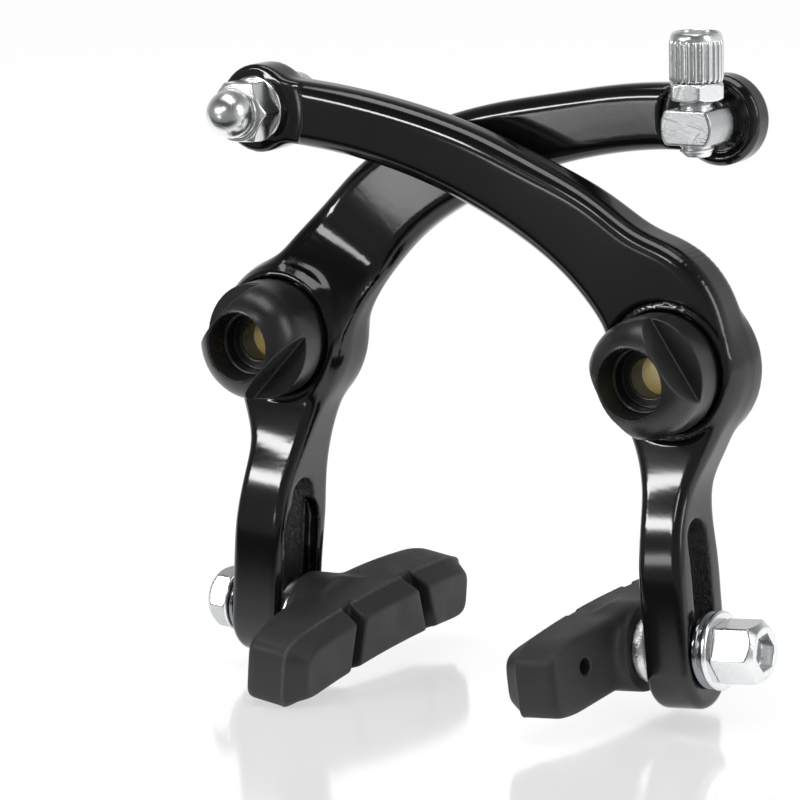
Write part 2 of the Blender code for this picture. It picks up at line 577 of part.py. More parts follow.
def cable_anchor():
    frame = side_matrix("right") @ along_y(EYE_U, EYE_Z)
    pivot = frame @ Vector((0, 0, 17.0))
    face = FRONT_EYE[0] + SPOT_DEPTH
    rear = FRONT_EYE[1]
    bolt = revolve("anchor_bolt", [(0, face - 7.6), (ANCHOR_R - 0.4, face - 7.6), (ANCHOR_R, face - 7.2),
                                   (ANCHOR_R, rear + 1.3), (4.9, rear + 1.3), (5.2, rear + 1.6),
                                   (5.2, rear + 6.0), (4.6, rear + 6.6), (0, rear + 6.6)],
                   frame, "zinc", seg=FINE, pivot=pivot)
    hole = revolve("anchor_cable_hole", [(0, -9), (0.95, -9), (0.95, 9), (0, 9)],
                   frame @ Matrix.Translation((0, 0, rear + 2.9)) @ Matrix.Rotation(math.pi / 2, 4, 'Y'),
                   None, seg=16, wire=True)
    cut(bolt, hole)
    revolve("anchor_pinch_washer", [(ANCHOR_R + 0.1, rear + 0.05), (5.4, rear + 0.05), (5.4, rear + 1.0),
                                    (5.1, rear + 1.25), (ANCHOR_R + 0.1, rear + 1.25)],
            frame, "zinc", seg=FINE, pivot=pivot)
    revolve("anchor_washer", [(ANCHOR_R + 0.1, face - 1.15), (5.6, face - 1.15), (5.9, face - 0.85),
                              (5.9, face - 0.05), (ANCHOR_R + 0.1, face - 0.05)],
            frame, "zinc", seg=FINE, pivot=pivot)
    corner = HEX_AF / 2 / math.cos(math.pi / 6)
    front = face - 6.5
    ball = front - 1.6
    dome = [(0.0, ball - DOME_R)]
    for i in range(1, 9):
        a = math.pi / 2 * i / 8
        dome.append((DOME_R * math.sin(a), ball - DOME_R * math.cos(a)))
    nut = revolve("dome_nut", dome + [(DOME_R, front), (corner - 0.9, front), (corner, front + 0.9),
                                      (corner, face - 1.5), (corner - 0.3, face - 1.2),
                                      (ANCHOR_R + 0.1, face - 1.2), (ANCHOR_R + 0.1, face - 7.8),
                                      (0, face - 7.8)],
                  frame, "zinc", seg=HEX_SEG, pivot=pivot)
    join(nut, prism("dome_nut_hex", hexagon(HEX_AF), ball - 9, face + 2, frame), 'INTERSECT')


def cable_stop():
    side = side_matrix("left")
    frame = side @ along_y(EYE_U, EYE_Z)
    pivot = frame @ Vector((0, 0, REAR_EYE[0]))
    rear = REAR_EYE[1]
    block = revolve("cable_stop", [(0, BLOCK_FRONT), (BLOCK_R - 0.4, BLOCK_FRONT),
                                   (BLOCK_R, BLOCK_FRONT + 0.4), (BLOCK_R, BLOCK_BACK - 0.3),
                                   (BLOCK_R - 0.5, BLOCK_BACK), (PIN_R, BLOCK_BACK + 0.4),
                                   (PIN_R, REAR_EYE[0] + SPOT_DEPTH + 0.66),
                                   (STOP_R, REAR_EYE[0] + SPOT_DEPTH + 0.66),
                                   (STOP_R, rear + 1.5), (STOP_R - 0.3, rear + 1.8), (0, rear + 1.8)],
                    frame, "zinc", pivot=pivot)
    for k, (low, high) in enumerate(((BLOCK_HALF, 9), (-9, -BLOCK_HALF))):
        cut(block, prism("cable_stop_flat_%d" % k, [(-8, low), (8, low), (8, high), (-8, high)],
                         BLOCK_FRONT - 3, BLOCK_BACK + 0.1, frame))
    centre = Vector((EYE_U, BARREL_Y, EYE_Z))
    up = side @ Matrix.Translation(centre) @ Matrix.Rotation(-LEFT_TURN, 4, 'Y')
    hole = revolve("cable_stop_hole", [(0, -9), (THREAD_R + 0.08, -9), (THREAD_R + 0.08, 9), (0, 9)],
                   up, None, seg=FINE, wire=True)
    cut(block, hole)
    revolve("cable_stop_clip", [(STOP_R + 0.06, rear + 0.05), (5.0, rear + 0.05), (5.0, rear + 0.85),
                                (STOP_R + 0.06, rear + 0.85)], frame, "spring_steel", seg=FINE, pivot=pivot)

    low, high = KNURL
    revolve("barrel_adjuster",
            [(1.4, -5.2), (2.3, -5.2), (THREAD_R, -4.4), (THREAD_R, low), (KNURL_R - 0.9, low),
             (KNURL_R - 0.1, low + 0.5), (KNURL_R, low + 1.0), (KNURL_R, high - 1.7),
             (KNURL_R - 0.2, high - 1.1), (KNURL_R - 0.7, high - 0.4), (KNURL_R - 1.0, high),
             (3.85, high), (3.7, high - 0.2), (3.7, high - 2.6), (HOUSING_R, high - 2.9),
             (HOUSING_R, high - HOUSING_DEPTH + 0.3), (HOUSING_R - 0.1, high - HOUSING_DEPTH),
             (1.4, high - HOUSING_DEPTH)],
            up, "zinc", seg=FLUTES * 4, pivot=up @ Vector((0, 0, 0)), ripple=(5, 8, FLUTES, 0.42))
    low, high = LOCK_NUT
    corner = NUT_AF / 2 / math.cos(math.pi / 6)
    nut = revolve("barrel_lock_nut", [(THREAD_R + 0.06, low + 0.3), (THREAD_R + 0.4, low),
                                      (corner - 0.9, low), (corner, low + 0.5), (corner, high - 0.5), (corner - 0.9, high),
                                      (THREAD_R + 0.4, high), (THREAD_R + 0.06, high - 0.3)],
                  up, "zinc", seg=HEX_SEG, pivot=up @ Vector((0, 0, 0)))
    join(nut, prism("barrel_lock_nut_hex", hexagon(NUT_AF, math.radians(-33)), low - 2, high + 2, up),
         'INTERSECT')


for which in ("right", "left"):
    arm(which)
    sleeve(which)
    tension_cap(which)
    coil_spring(which)
    pad(which)
    pad_hardware(which)
cable_anchor()
cable_stop()
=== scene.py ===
import math

import bmesh
import bpy
import numpy as np
from mathutils import Matrix, Vector


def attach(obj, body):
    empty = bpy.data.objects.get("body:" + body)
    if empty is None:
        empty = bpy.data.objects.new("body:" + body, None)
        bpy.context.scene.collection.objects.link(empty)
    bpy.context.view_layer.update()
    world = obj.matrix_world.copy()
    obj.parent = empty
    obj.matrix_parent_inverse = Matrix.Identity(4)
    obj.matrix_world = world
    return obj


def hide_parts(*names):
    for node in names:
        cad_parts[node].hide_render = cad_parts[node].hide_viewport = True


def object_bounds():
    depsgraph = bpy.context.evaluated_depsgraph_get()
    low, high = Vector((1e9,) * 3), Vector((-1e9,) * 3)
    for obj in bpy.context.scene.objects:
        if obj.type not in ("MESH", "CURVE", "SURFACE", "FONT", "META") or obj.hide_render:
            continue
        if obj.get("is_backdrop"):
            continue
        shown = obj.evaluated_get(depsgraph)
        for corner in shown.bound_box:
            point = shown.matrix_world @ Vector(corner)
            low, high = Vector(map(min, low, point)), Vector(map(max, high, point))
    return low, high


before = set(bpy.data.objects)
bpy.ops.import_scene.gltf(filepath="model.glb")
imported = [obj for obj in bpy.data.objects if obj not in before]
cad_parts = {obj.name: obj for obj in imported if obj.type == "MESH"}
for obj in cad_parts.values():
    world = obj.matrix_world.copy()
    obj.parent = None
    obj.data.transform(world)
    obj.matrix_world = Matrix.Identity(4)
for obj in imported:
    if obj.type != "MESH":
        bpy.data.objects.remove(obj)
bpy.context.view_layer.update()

scene = bpy.context.scene
scene.view_settings.view_transform = "Standard"

MM = 0.001

# Places on an arm, in mm: u outwards from the pivot, y back, z up.
PIVOT = 40.0    # from the brake's middle to each pivot
SEAT = 26.0    # depth at which both arms seat on their studs
LEFT_TURN = math.radians(0.6)    # the left arm's turn from the right one's mirror image
EYE = (-83.5, 40.9)
EYE_R = 7.9
EYE_BORE = 3.05
EYE_FACES = {"right": (12.2, 20.8), "left": (24.6, 31.8)}
SPOT_DEPTH = 1.3    # how deep each eye is faced for what sits on it
SLEEVE_BORE = 5.3
POST = (3.2, 13.2, -49.2)    # where the pad's post crosses the tab
TILT = math.radians(4.7)    # lean of the tab, and of the post with it
DROP = {"right": -0.7, "left": 1.0}    # how far below that place each post is set

# Heights along a post, in mm, outwards from the tab's middle.
PAD_END = -7.45    # where the pad's round seat meets its spacer
PAD_SEAT = {"right": 1.5, "left": 2.3}
NUT_ENDS = {"right": (7.65, 15.7), "left": (6.8, 11.2)}

STEP = 1.0    # coarser skins while trying things


# ---- frames ----

def arm_frame(side):
    """From an arm's own places to the brake's; the left arm mirrors the right one."""
    if side == "right":
        return Matrix.Translation((PIVOT, -SEAT, 0))
    turn = Matrix.Scale(-1, 4, (1, 0, 0)) @ Matrix.Rotation(LEFT_TURN, 4, "Y")
    return Matrix.Translation((-PIVOT, -SEAT, 0)) @ turn


def axle_frame(side, u=0.0, z=0.0):
    """Third axis runs back along the pin through (u, z)."""
    pin = Matrix(((1, 0, 0, u), (0, 0, 1, 0), (0, 1, 0, z), (0, 0, 0, 1)))
    return arm_frame(side) @ pin


def post_frame(side):
    """First axis back, second down the tab, third out along the post."""
    out = Vector((math.cos(TILT), 0, math.sin(TILT)))
    down = Vector((math.sin(TILT), 0, -math.cos(TILT)))
    base = Vector(POST) + down * DROP[side]
    return arm_frame(side) @ Matrix(((0, down.x, out.x, base.x), (1, 0, 0, base.y),
                                     (0, down.z, out.z, base.z), (0, 0, 0, 1)))


# ---- meshes ----

ON_AXIS = 1e-6    # a profile's point nearer the axis than this is a pole


def piece(name, verts, faces, place, coat, body, *nodes, slot=None, sharp=None, marks=None):
    """A mesh from points in mm, put in its place, that stands for CAD nodes on a body."""
    grid = np.array(place)
    pts = (np.asarray(verts) @ grid[:3, :3].T + grid[:3, 3]) * MM
    mesh = bpy.data.meshes.new(name)
    mesh.from_pydata(pts.tolist(), [], [list(f) for f in faces])
    work = bmesh.new()
    work.from_mesh(mesh)
    bmesh.ops.recalc_face_normals(work, faces=work.faces)
    work.to_mesh(mesh)
    work.free()
    for label, values in (marks or {}).items():
        layer = mesh.attributes.new(label, "FLOAT", "POINT")
        layer.data.foreach_set("value", np.asarray(values, dtype=np.float32))
    mesh.materials.append(coat)
    mesh.shade_smooth()
    if sharp:
        mesh.set_sharp_from_angle(angle=math.radians(sharp))
    obj = bpy.data.objects.new(name, mesh)
    scene.collection.objects.link(obj)
    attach(obj, body)
    if nodes:
        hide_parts(*nodes)


def eased(profile, radius, closed):
    """Round every corner of a turning profile with a short arc."""
    out = []
    n = len(profile)
    for i, p in enumerate(profile):
        if not closed and i in (0, n - 1):
            out.append(p)
            continue
        a, b = Vector(profile[i - 1]), Vector(profile[(i + 1) % n])
        p = Vector(p)
        r = min(radius, 0.42 * (a - p).length, 0.42 * (b - p).length)
        s, e = p + (a - p).normalized() * r, p + (b - p).normalized() * r
        for t in (0, 0.25, 0.5, 0.75, 1):
            q = s * (1 - t) ** 2 + p * 2 * t * (1 - t) + e * t ** 2
            out.append((q.x, q.y))
    return out


def turned(profile, seg=128, ease=0.12):
    """Vertices and faces of a profile of (radius, height) turned about the third axis."""
    closed = profile[0][0] > ON_AXIS
    rows = eased(profile, ease, closed)
    poles = [r < ON_AXIS for r, h in rows]
    ang = 2 * np.pi * np.arange(seg) / seg
    verts, faces, starts = [], [], []
    for (r, h), pole in zip(rows, poles):
        starts.append(len(verts))
        verts += [(0, 0, h)] if pole else [(r * math.cos(a), r * math.sin(a), h) for a in ang]
    pairs = [(k, k + 1) for k in range(len(rows) - 1)]
    if closed:
        pairs.append((len(rows) - 1, 0))
    for k, m in pairs:
        for i in range(seg):
            j = (i + 1) % seg
            if poles[k]:
                faces.append((starts[k], starts[m] + i, starts[m] + j))
            elif poles[m]:
                faces.append((starts[k] + i, starts[k] + j, starts[m]))
            else:
                faces.append((starts[k] + i, starts[k] + j, starts[m] + j, starts[m] + i))
    return verts, faces


def turned_piece(name, profile, place, coat, body, node, slot, sharp=40, ease=0.12):
    piece(name, *turned(profile, ease=ease), place, coat, body, node, slot=slot, sharp=sharp)


# ---- solids given by a distance field, for cast, forged and moulded pieces ----

CHUNK = 40000    # points sampled at a time
BLOCK = 4    # fine cells along a coarse block
NEAR = 1.3    # blocks from the skin within which the fine cells are sampled
PULLS = 3    # rounds in which the skin is drawn onto the field's zero
PROBE = 0.03    # mm over which a field's slope is taken
STEEP_FLOOR = 0.05    # least square of that slope, where the field is flat
LONGEST_PULL = 0.4    # of a step
RELAX = 60    # rounds that even out a limb's stations


def join(a, b, k):
    """What is in a or b, with the corner between them filled."""
    h = np.maximum(k - np.abs(a - b), 0) / k
    return np.minimum(a, b) - h ** 3 * k / 6


def carve(a, b, k):
    """What is in both a and b, with the edge between them rounded."""
    return -join(-a, -b, k)


def polygon(points, x, y, ease):
    """Signed distance to a closed outline, its convex corners rounded by ease."""
    pts = np.array(points, dtype=float)
    after = np.roll(pts, -1, 0)
    if (pts[:, 0] * after[:, 1] - after[:, 0] * pts[:, 1]).sum() < 0:
        pts = pts[::-1]
    edge = np.roll(pts, -1, 0) - pts
    edge /= np.linalg.norm(edge, axis=1)[:, None]
    inward = np.stack([-edge[:, 1], edge[:, 0]], 1)
    before = np.roll(inward, 1, 0)
    pts = pts + ease * (inward + before) / (1 + (inward * before).sum(1))[:, None]
    best = np.full(np.broadcast(x, y).shape, 1e9)
    inside = np.zeros(best.shape, bool)
    for (ax, ay), (bx, by) in zip(pts, np.roll(pts, -1, 0)):
        ex, ey = bx - ax, by - ay
        t = np.clip(((x - ax) * ex + (y - ay) * ey) / (ex * ex + ey * ey), 0, 1)
        best = np.minimum(best, (x - ax - t * ex) ** 2 + (y - ay - t * ey) ** 2)
        if ay != by:
            inside ^= ((ay > y) != (by > y)) & (x < ax + (y - ay) * ex / (by - ay))
    return np.where(inside, -1, 1) * np.sqrt(best) - ease


def hexagon(x, y, across, turn, k=0.3):
    """Distance to a hexagonal bar of a given width across its flats."""
    d = None
    for i in range(3):
        a = turn + math.pi * (1 + 2 * i) / 6
        flat = np.abs(x * math.cos(a) + y * math.sin(a)) - across / 2
        d = flat if d is None else carve(d, flat, k)
    return d


def sampled(field, pts):
    out = np.empty(len(pts))
    for i in range(0, len(pts), CHUNK):
        p = pts[i:i + CHUNK]
        out[i:i + CHUNK] = field(p[:, 0], p[:, 1], p[:, 2])
    return out


def cast(field, low, high, step):
    """Skin where a field is zero: coarse blocks first, then one point in each crossed cell."""
    low, high = np.array(low, float), np.array(high, float)
    size = np.ceil((high - low) / step).astype(int) + 1
    blocks = -(-size // BLOCK)
    axes = [low[k] + step * (BLOCK * np.arange(blocks[k]) + (BLOCK - 1) / 2) for k in range(3)]
    mid = np.stack(np.meshgrid(*axes, indexing="ij"), -1).reshape(-1, 3)
    fine = sampled(field, mid).reshape(blocks)
    for k in range(3):
        fine = np.repeat(fine, BLOCK, axis=k)
    fine = fine[:size[0], :size[1], :size[2]].copy()
    near = np.argwhere(np.abs(fine) < step * BLOCK * NEAR)
    fine[near[:, 0], near[:, 1], near[:, 2]] = sampled(field, low + step * near)
    sign = fine < 0
    corner = [(i, j, k) for i in (0, 1) for j in (0, 1) for k in (0, 1)]
    cells = size - 1

    def at(values, c):
        return values[c[0]:c[0] + cells[0], c[1]:c[1] + cells[1], c[2]:c[2] + cells[2]]

    count = sum(at(sign, c).astype(np.int8) for c in corner)
    mixed = np.argwhere((count > 0) & (count < 8))
    index = np.full(cells, -1, np.int64)
    index[mixed[:, 0], mixed[:, 1], mixed[:, 2]] = np.arange(len(mixed))
    total, hits = np.zeros((len(mixed), 3)), np.zeros(len(mixed))
    value = {c: fine[tuple((mixed + c).T)] for c in corner}
    for a in corner:
        for k in range(3):
            if a[k]:
                continue
            b = tuple(v + (1 if m == k else 0) for m, v in enumerate(a))
            cross = (value[a] < 0) != (value[b] < 0)
            t = value[a][cross] / (value[a][cross] - value[b][cross])
            total[cross] += np.array(a) + t[:, None] * (np.array(b) - np.array(a))
            hits[cross] += 1
    verts = low + step * (mixed + total / hits[:, None])

    faces = []
    for k in range(3):
        a, b = (k + 1) % 3, (k + 2) % 3
        first = np.take(sign, range(size[k] - 1), axis=k)
        change = np.argwhere(first != np.take(sign, range(1, size[k]), axis=k))
        change = change[(change[:, a] > 0) & (change[:, b] > 0)
                        & (change[:, a] < size[a] - 1) & (change[:, b] < size[b] - 1)]
        quad = []
        for da, db in ((-1, -1), (0, -1), (0, 0), (-1, 0)):
            q = change.copy()
            q[:, a] += da
            q[:, b] += db
            quad.append(index[tuple(q.T)])
        quad = np.stack(quad, 1)
        out = first[tuple(change.T)]
        quad[~out] = quad[~out][:, ::-1]
        faces.append(quad)

    for _ in range(PULLS):
        here = sampled(field, verts)
        slope = [(sampled(field, verts + d) - here) / PROBE for d in np.eye(3) * PROBE]
        slope = np.stack(slope, 1)
        steep = np.maximum((slope ** 2).sum(1), STEEP_FLOOR)
        move = -here[:, None] * slope / steep[:, None]
        far = np.maximum(np.linalg.norm(move, axis=1), 1e-9)
        verts = verts + move * np.minimum(1, LONGEST_PULL * step / far)[:, None]
    return verts, np.concatenate(faces)


def smooth_rows(rows, count):
    """Stations on a curve through the given rows, then relaxed along the spine."""
    out = []
    last = len(rows) - 1
    for i in range(count):
        t = last * i / (count - 1)
        k = min(int(t), last - 1)
        f = t - k
        p, q, r, s = (np.array(rows[max(0, min(last, k + d))], float) for d in (-1, 0, 1, 2))
        out.append(0.5 * (2 * q + (r - p) * f + (2 * p - 5 * q + 4 * r - s) * f * f
                          + (3 * q - p - 3 * r + s) * f ** 3))
    out = np.array(out)
    for _ in range(RELAX):
        out[1:-1] = 0.25 * out[:-2] + 0.5 * out[1:-1] + 0.25 * out[2:]
    return out


def limb(rows, count=150):
    """Field of a rounded bar that follows a bent spine; its far end is round in depth."""
    pts = smooth_rows(rows, count)
    a, d = pts[:-1, :2], np.diff(pts[:, :2], axis=0)
    length = np.linalg.norm(d, axis=1)
    last = len(a) - 1

    def field(u, y, z):
        along_u, along_z = u[:, None] - a[:, 0], z[:, None] - a[:, 1]
        t = (along_u * d[:, 0] + along_z * d[:, 1]) / length ** 2
        held = np.clip(t, 0, 1)
        off = (along_u - held * d[:, 0]) ** 2 + (along_z - held * d[:, 1]) ** 2
        k = off.argmin(1)
        t = t[np.arange(len(u)), k]
        over = np.where(k == last, np.maximum(t - 1, 0), 0) * length[k]
        under = np.where(k == 0, np.maximum(-t, 0), 0) * length[k]
        across = np.abs((u - a[k, 0]) * d[k, 1] - (z - a[k, 1]) * d[k, 0]) / length[k]
        f = np.clip(t, 0, 1)[:, None]
        half, front, back, r = (pts[k, 2:] * (1 - f) + pts[k + 1, 2:] * f).T
        deep = (back - front) / 2
        p = across - half + r
        q = np.hypot(y - (front + back) / 2, over) - deep + r
        gap = np.hypot(np.maximum(p, 0), np.maximum(q, 0)) + np.minimum(np.maximum(p, q), 0) - r
        return np.where(under > 0, np.maximum(gap, under), gap)
    return field


# ---- node trees ----

def node_group(name, kind, inputs, outputs):
    """A tree with named sockets, and its input and output nodes."""
    tree = bpy.data.node_groups.new(name, kind)
    for way, sockets in (("INPUT", inputs), ("OUTPUT", outputs)):
        for label, form in sockets.items():
            tree.interface.new_socket(label, in_out=way, socket_type="NodeSocket" + form)
    return tree, tree.nodes.new("NodeGroupInput"), tree.nodes.new("NodeGroupOutput")


def new_nodes(tree, *kinds):
    return [tree.nodes.new(kind) for kind in kinds]


def wire(tree, *runs):
    """Each run names a node, its output, the next node and that one's input."""
    for source, out, target, into in runs:
        tree.links.new(source.outputs[out], target.inputs[into])


def feed(tree, value, socket):
    """Set a socket to a number, or link it to another."""
    if isinstance(value, (int, float)):
        socket.default_value = value
    else:
        tree.links.new(value, socket)


def maths(tree, operation, a, b=None, clamp=False):
    node = tree.nodes.new("ShaderNodeMath")
    node.operation = operation
    node.use_clamp = clamp
    feed(tree, a, node.inputs[0])
    if b is not None:
        feed(tree, b, node.inputs[1])
    return node.outputs[0]


def spread(tree, value, from_low, from_high, to_low, to_high):
    node = tree.nodes.new("ShaderNodeMapRange")
    for label, number in (("From Min", from_low), ("From Max", from_high),
                          ("To Min", to_low), ("To Max", to_high)):
        node.inputs[label].default_value = number
    tree.links.new(value, node.inputs["Value"])
    return node.outputs["Result"]


def blend(tree, factor, a, b):
    """Colour a going over to colour b; each is a socket or three numbers."""
    node = tree.nodes.new("ShaderNodeMix")
    node.data_type = "RGBA"
    tree.links.new(factor, node.inputs["Factor"])
    for label, colour in (("A", a), ("B", b)):
        if isinstance(colour, tuple):
            node.inputs[label].default_value = (*colour, 1)
        else:
            tree.links.new(colour, node.inputs[label])
    return node.outputs["Result"]


def noise(tree, vector, scale, detail=3.0, rough=0.5):
    node = tree.nodes.new("ShaderNodeTexNoise")
    node.inputs["Detail"].default_value = detail
    node.inputs["Roughness"].default_value = rough
    tree.links.new(vector, node.inputs["Vector"])
    feed(tree, scale, node.inputs["Scale"])
    return node.outputs["Fac"]


# ---- finishes ----

def fine_grain():
    """Fine relief on slow waves, and a mask of the waves."""
    tree, given, out = node_group(
        "fine_grain", "ShaderNodeTree",
        {"Vector": "Vector", "Scale": "Float", "Coarse": "Float"},
        {"Height": "Float", "Mask": "Float"})
    vector, scale = given.outputs["Vector"], given.outputs["Scale"]
    fine = noise(tree, vector, scale, 4.0, 0.6)
    wide = noise(tree, vector, maths(tree, "MULTIPLY", scale, 0.12), 2.0)
    waves = maths(tree, "MULTIPLY", wide, given.outputs["Coarse"])
    tree.links.new(maths(tree, "ADD", fine, waves), out.inputs["Height"])
    tree.links.new(spread(tree, wide, 0.35, 0.65, 0.0, 1.0), out.inputs["Mask"])


def dust_specks():
    """A speck in one cell out of five, each of its own size."""
    tree, given, out = node_group(
        "dust_specks", "ShaderNodeTree",
        {"Vector": "Vector", "Scale": "Float", "Size": "Float"}, {"Mask": "Float"})
    cells, pick = new_nodes(tree, "ShaderNodeTexVoronoi", "ShaderNodeSeparateColor")
    wire(tree, (given, "Vector", cells, "Vector"), (given, "Scale", cells, "Scale"),
         (cells, "Color", pick, "Color"))
    size = maths(tree, "MULTIPLY", given.outputs["Size"], pick.outputs["Green"])
    small = maths(tree, "LESS_THAN", cells.outputs["Distance"], size)
    few = maths(tree, "GREATER_THAN", pick.outputs["Red"], 0.8)
    tree.links.new(maths(tree, "MULTIPLY", small, few), out.inputs["Mask"])


def hairlines():
    """Thin scratches in three directions."""
    tree, given, out = node_group(
        "hairlines", "ShaderNodeTree",
        {"Vector": "Vector", "Scale": "Float", "Stretch": "Float"}, {"Height": "Float"})
    total = None
    for turn in (0.4, 1.9, 2.7):
        swing, pull, ratio = new_nodes(tree, "ShaderNodeMapping", "ShaderNodeVectorMath",
                                       "ShaderNodeCombineXYZ")
        swing.inputs["Rotation"].default_value = (turn, 0.7 * turn, 1.3 * turn)
        pull.operation = "MULTIPLY"
        ratio.inputs["X"].default_value = 1.0
        ratio.inputs["Z"].default_value = 1.0
        wire(tree, (given, "Vector", swing, "Vector"), (swing, "Vector", pull, 0),
             (given, "Stretch", ratio, "Y"), (ratio, "Vector", pull, 1))
        lines = noise(tree, pull.outputs["Vector"], given.outputs["Scale"], 2.0, 0.6)
        thin = spread(tree, lines, 0.62, 0.72, 0.0, 1.0)
        total = thin if total is None else maths(tree, "MAXIMUM", total, thin)
    tree.links.new(total, out.inputs["Height"])


def finish(name, colours, rough, grain, depth, metallic=1.0, coarse=0.6, dust=None,
           lines=None, mark=None, sockets=None):
    """A finish with grain relief and a slow change of colour and gloss.

    dust is (scale, size, colour), lines (scale, stretch, depth), and mark, for a place that
    the mesh marks, (attribute, scale, relief, added roughness, worn colour).
    """
    mat = bpy.data.materials.new(name)
    mat.use_nodes = True
    tree = mat.node_tree
    link = tree.links.new
    shader = tree.nodes["Principled BSDF"]
    shader.inputs["Metallic"].default_value = metallic
    for label, value in (sockets or {}).items():
        shader.inputs[label].default_value = value
    coords = tree.nodes.new("ShaderNodeTexCoord").outputs["Object"]

    def use(group, **values):
        node = tree.nodes.new("ShaderNodeGroup")
        node.node_tree = bpy.data.node_groups[group]
        link(coords, node.inputs["Vector"])
        for label, value in values.items():
            node.inputs[label].default_value = value
        return node.outputs

    def plus(a, b, share):
        return maths(tree, "ADD", a, maths(tree, "MULTIPLY", b, share))

    relief = use("fine_grain", Scale=grain, Coarse=coarse)
    height = relief["Height"]
    gloss = spread(tree, relief["Mask"], 0.0, 1.0, *rough)
    shade = blend(tree, relief["Mask"], *colours)
    if dust:
        scale, size, tone = dust
        specks = use("dust_specks", Scale=scale, Size=size)["Mask"]
        shade = blend(tree, specks, shade, tone)
        height = plus(height, specks, 1.5)
    if lines:
        scale, stretch, deep = lines
        scratch = use("hairlines", Scale=scale, Stretch=stretch)["Height"]
        height = plus(height, scratch, -deep)
        gloss = plus(gloss, scratch, 0.08)
    if mark:
        label, scale, push, rougher, tone = mark
        attribute = tree.nodes.new("ShaderNodeAttribute")
        attribute.attribute_name = label
        here = attribute.outputs["Fac"]
        rag = noise(tree, coords, scale, 3.0, 0.65)
        crease = maths(tree, "ABSOLUTE", maths(tree, "SUBTRACT", rag, 0.5))
        height = plus(height, maths(tree, "MULTIPLY", here, crease), push)
        gloss = plus(gloss, here, rougher)
        worn = maths(tree, "MULTIPLY", here, spread(tree, rag, 0.35, 0.6, 0.3, 1.0))
        shade = blend(tree, worn, shade, tone)
    bump = tree.nodes.new("ShaderNodeBump")
    bump.inputs["Strength"].default_value = 1.0
    bump.inputs["Distance"].default_value = depth
    link(height, bump.inputs["Height"])
    link(bump.outputs["Normal"], shader.inputs["Normal"])
    link(shade, shader.inputs["Base Color"])
    link(gloss, shader.inputs["Roughness"])
    return mat


fine_grain()
dust_specks()
hairlines()

PAINT = finish("gloss_black_paint", ((0.004, 0.004, 0.0043), (0.0055, 0.0055, 0.006)),
               metallic=0.0, rough=(0.1, 0.15), grain=240.0, depth=0.000012, coarse=1.0,
               dust=(150.0, 0.035, (0.05, 0.05, 0.05)),
               mark=("slot_wall", 1100.0, 130.0, 0.02, (0.014, 0.014, 0.015)),
               sockets={"Coat Weight": 0.15, "Coat Roughness": 0.09})
CAP_BLACK = finish("satin_black_cap", ((0.015, 0.015, 0.016), (0.02, 0.02, 0.021)),
                   metallic=0.0, rough=(0.26, 0.34), grain=900.0, depth=0.00001,
                   dust=(260.0, 0.03, (0.07, 0.07, 0.07)), lines=(60.0, 22.0, 0.015))
RUBBER = finish("pad_rubber_black", ((0.016, 0.016, 0.0165), (0.024, 0.024, 0.0245)),
                metallic=0.0, rough=(0.5, 0.62), grain=1300.0, depth=0.00006,
                dust=(330.0, 0.06, (0.09, 0.09, 0.09)),
                mark=("seam", 900.0, 2.2, -0.1, (0.075, 0.075, 0.076)),
                sockets={"Specular IOR Level": 0.5})
ZINC = finish("bright_zinc", ((0.78, 0.79, 0.8), (0.86, 0.87, 0.88)),
              rough=(0.2, 0.3), grain=700.0, depth=0.00002,
              dust=(420.0, 0.1, (0.5, 0.51, 0.52)), lines=(80.0, 16.0, 0.5))
ZINC_GRAIN = finish("grained_zinc", ((0.7, 0.71, 0.72), (0.9, 0.91, 0.92)),
                    rough=(0.18, 0.3), grain=2600.0, depth=0.0001,
                    coarse=0.04)
# Painted shade: the same zinc plating as ZINC, made darker so that the left pad's nut and the cable
# stop do not clip white under the lamps.
ZINC_SHADED = finish("shaded_zinc_plate", ((0.46, 0.47, 0.48), (0.56, 0.57, 0.58)),
                   rough=(0.16, 0.26), grain=700.0, depth=0.00002,
                   dust=(420.0, 0.1, (0.3, 0.31, 0.32)), lines=(150.0, 14.0, 0.2))
CHROME_DARK = finish("dark_chrome_plate", ((0.22, 0.23, 0.25), (0.28, 0.29, 0.31)),
                     rough=(0.07, 0.12), grain=500.0, depth=0.00001,
                     lines=(80.0, 20.0, 0.3))
BRASS = finish("sleeve_brass_turned", ((0.42, 0.35, 0.16), (0.52, 0.44, 0.23)),
               rough=(0.25, 0.4), grain=900.0, depth=0.00004,
               lines=(120.0, 24.0, 0.6))
STEEL = finish("spring_wire_steel", ((0.35, 0.35, 0.36), (0.45, 0.45, 0.46)),
               rough=(0.28, 0.4), grain=1200.0, depth=0.00002)


# ---- what winds or repeats: thread, spring and ribs ----

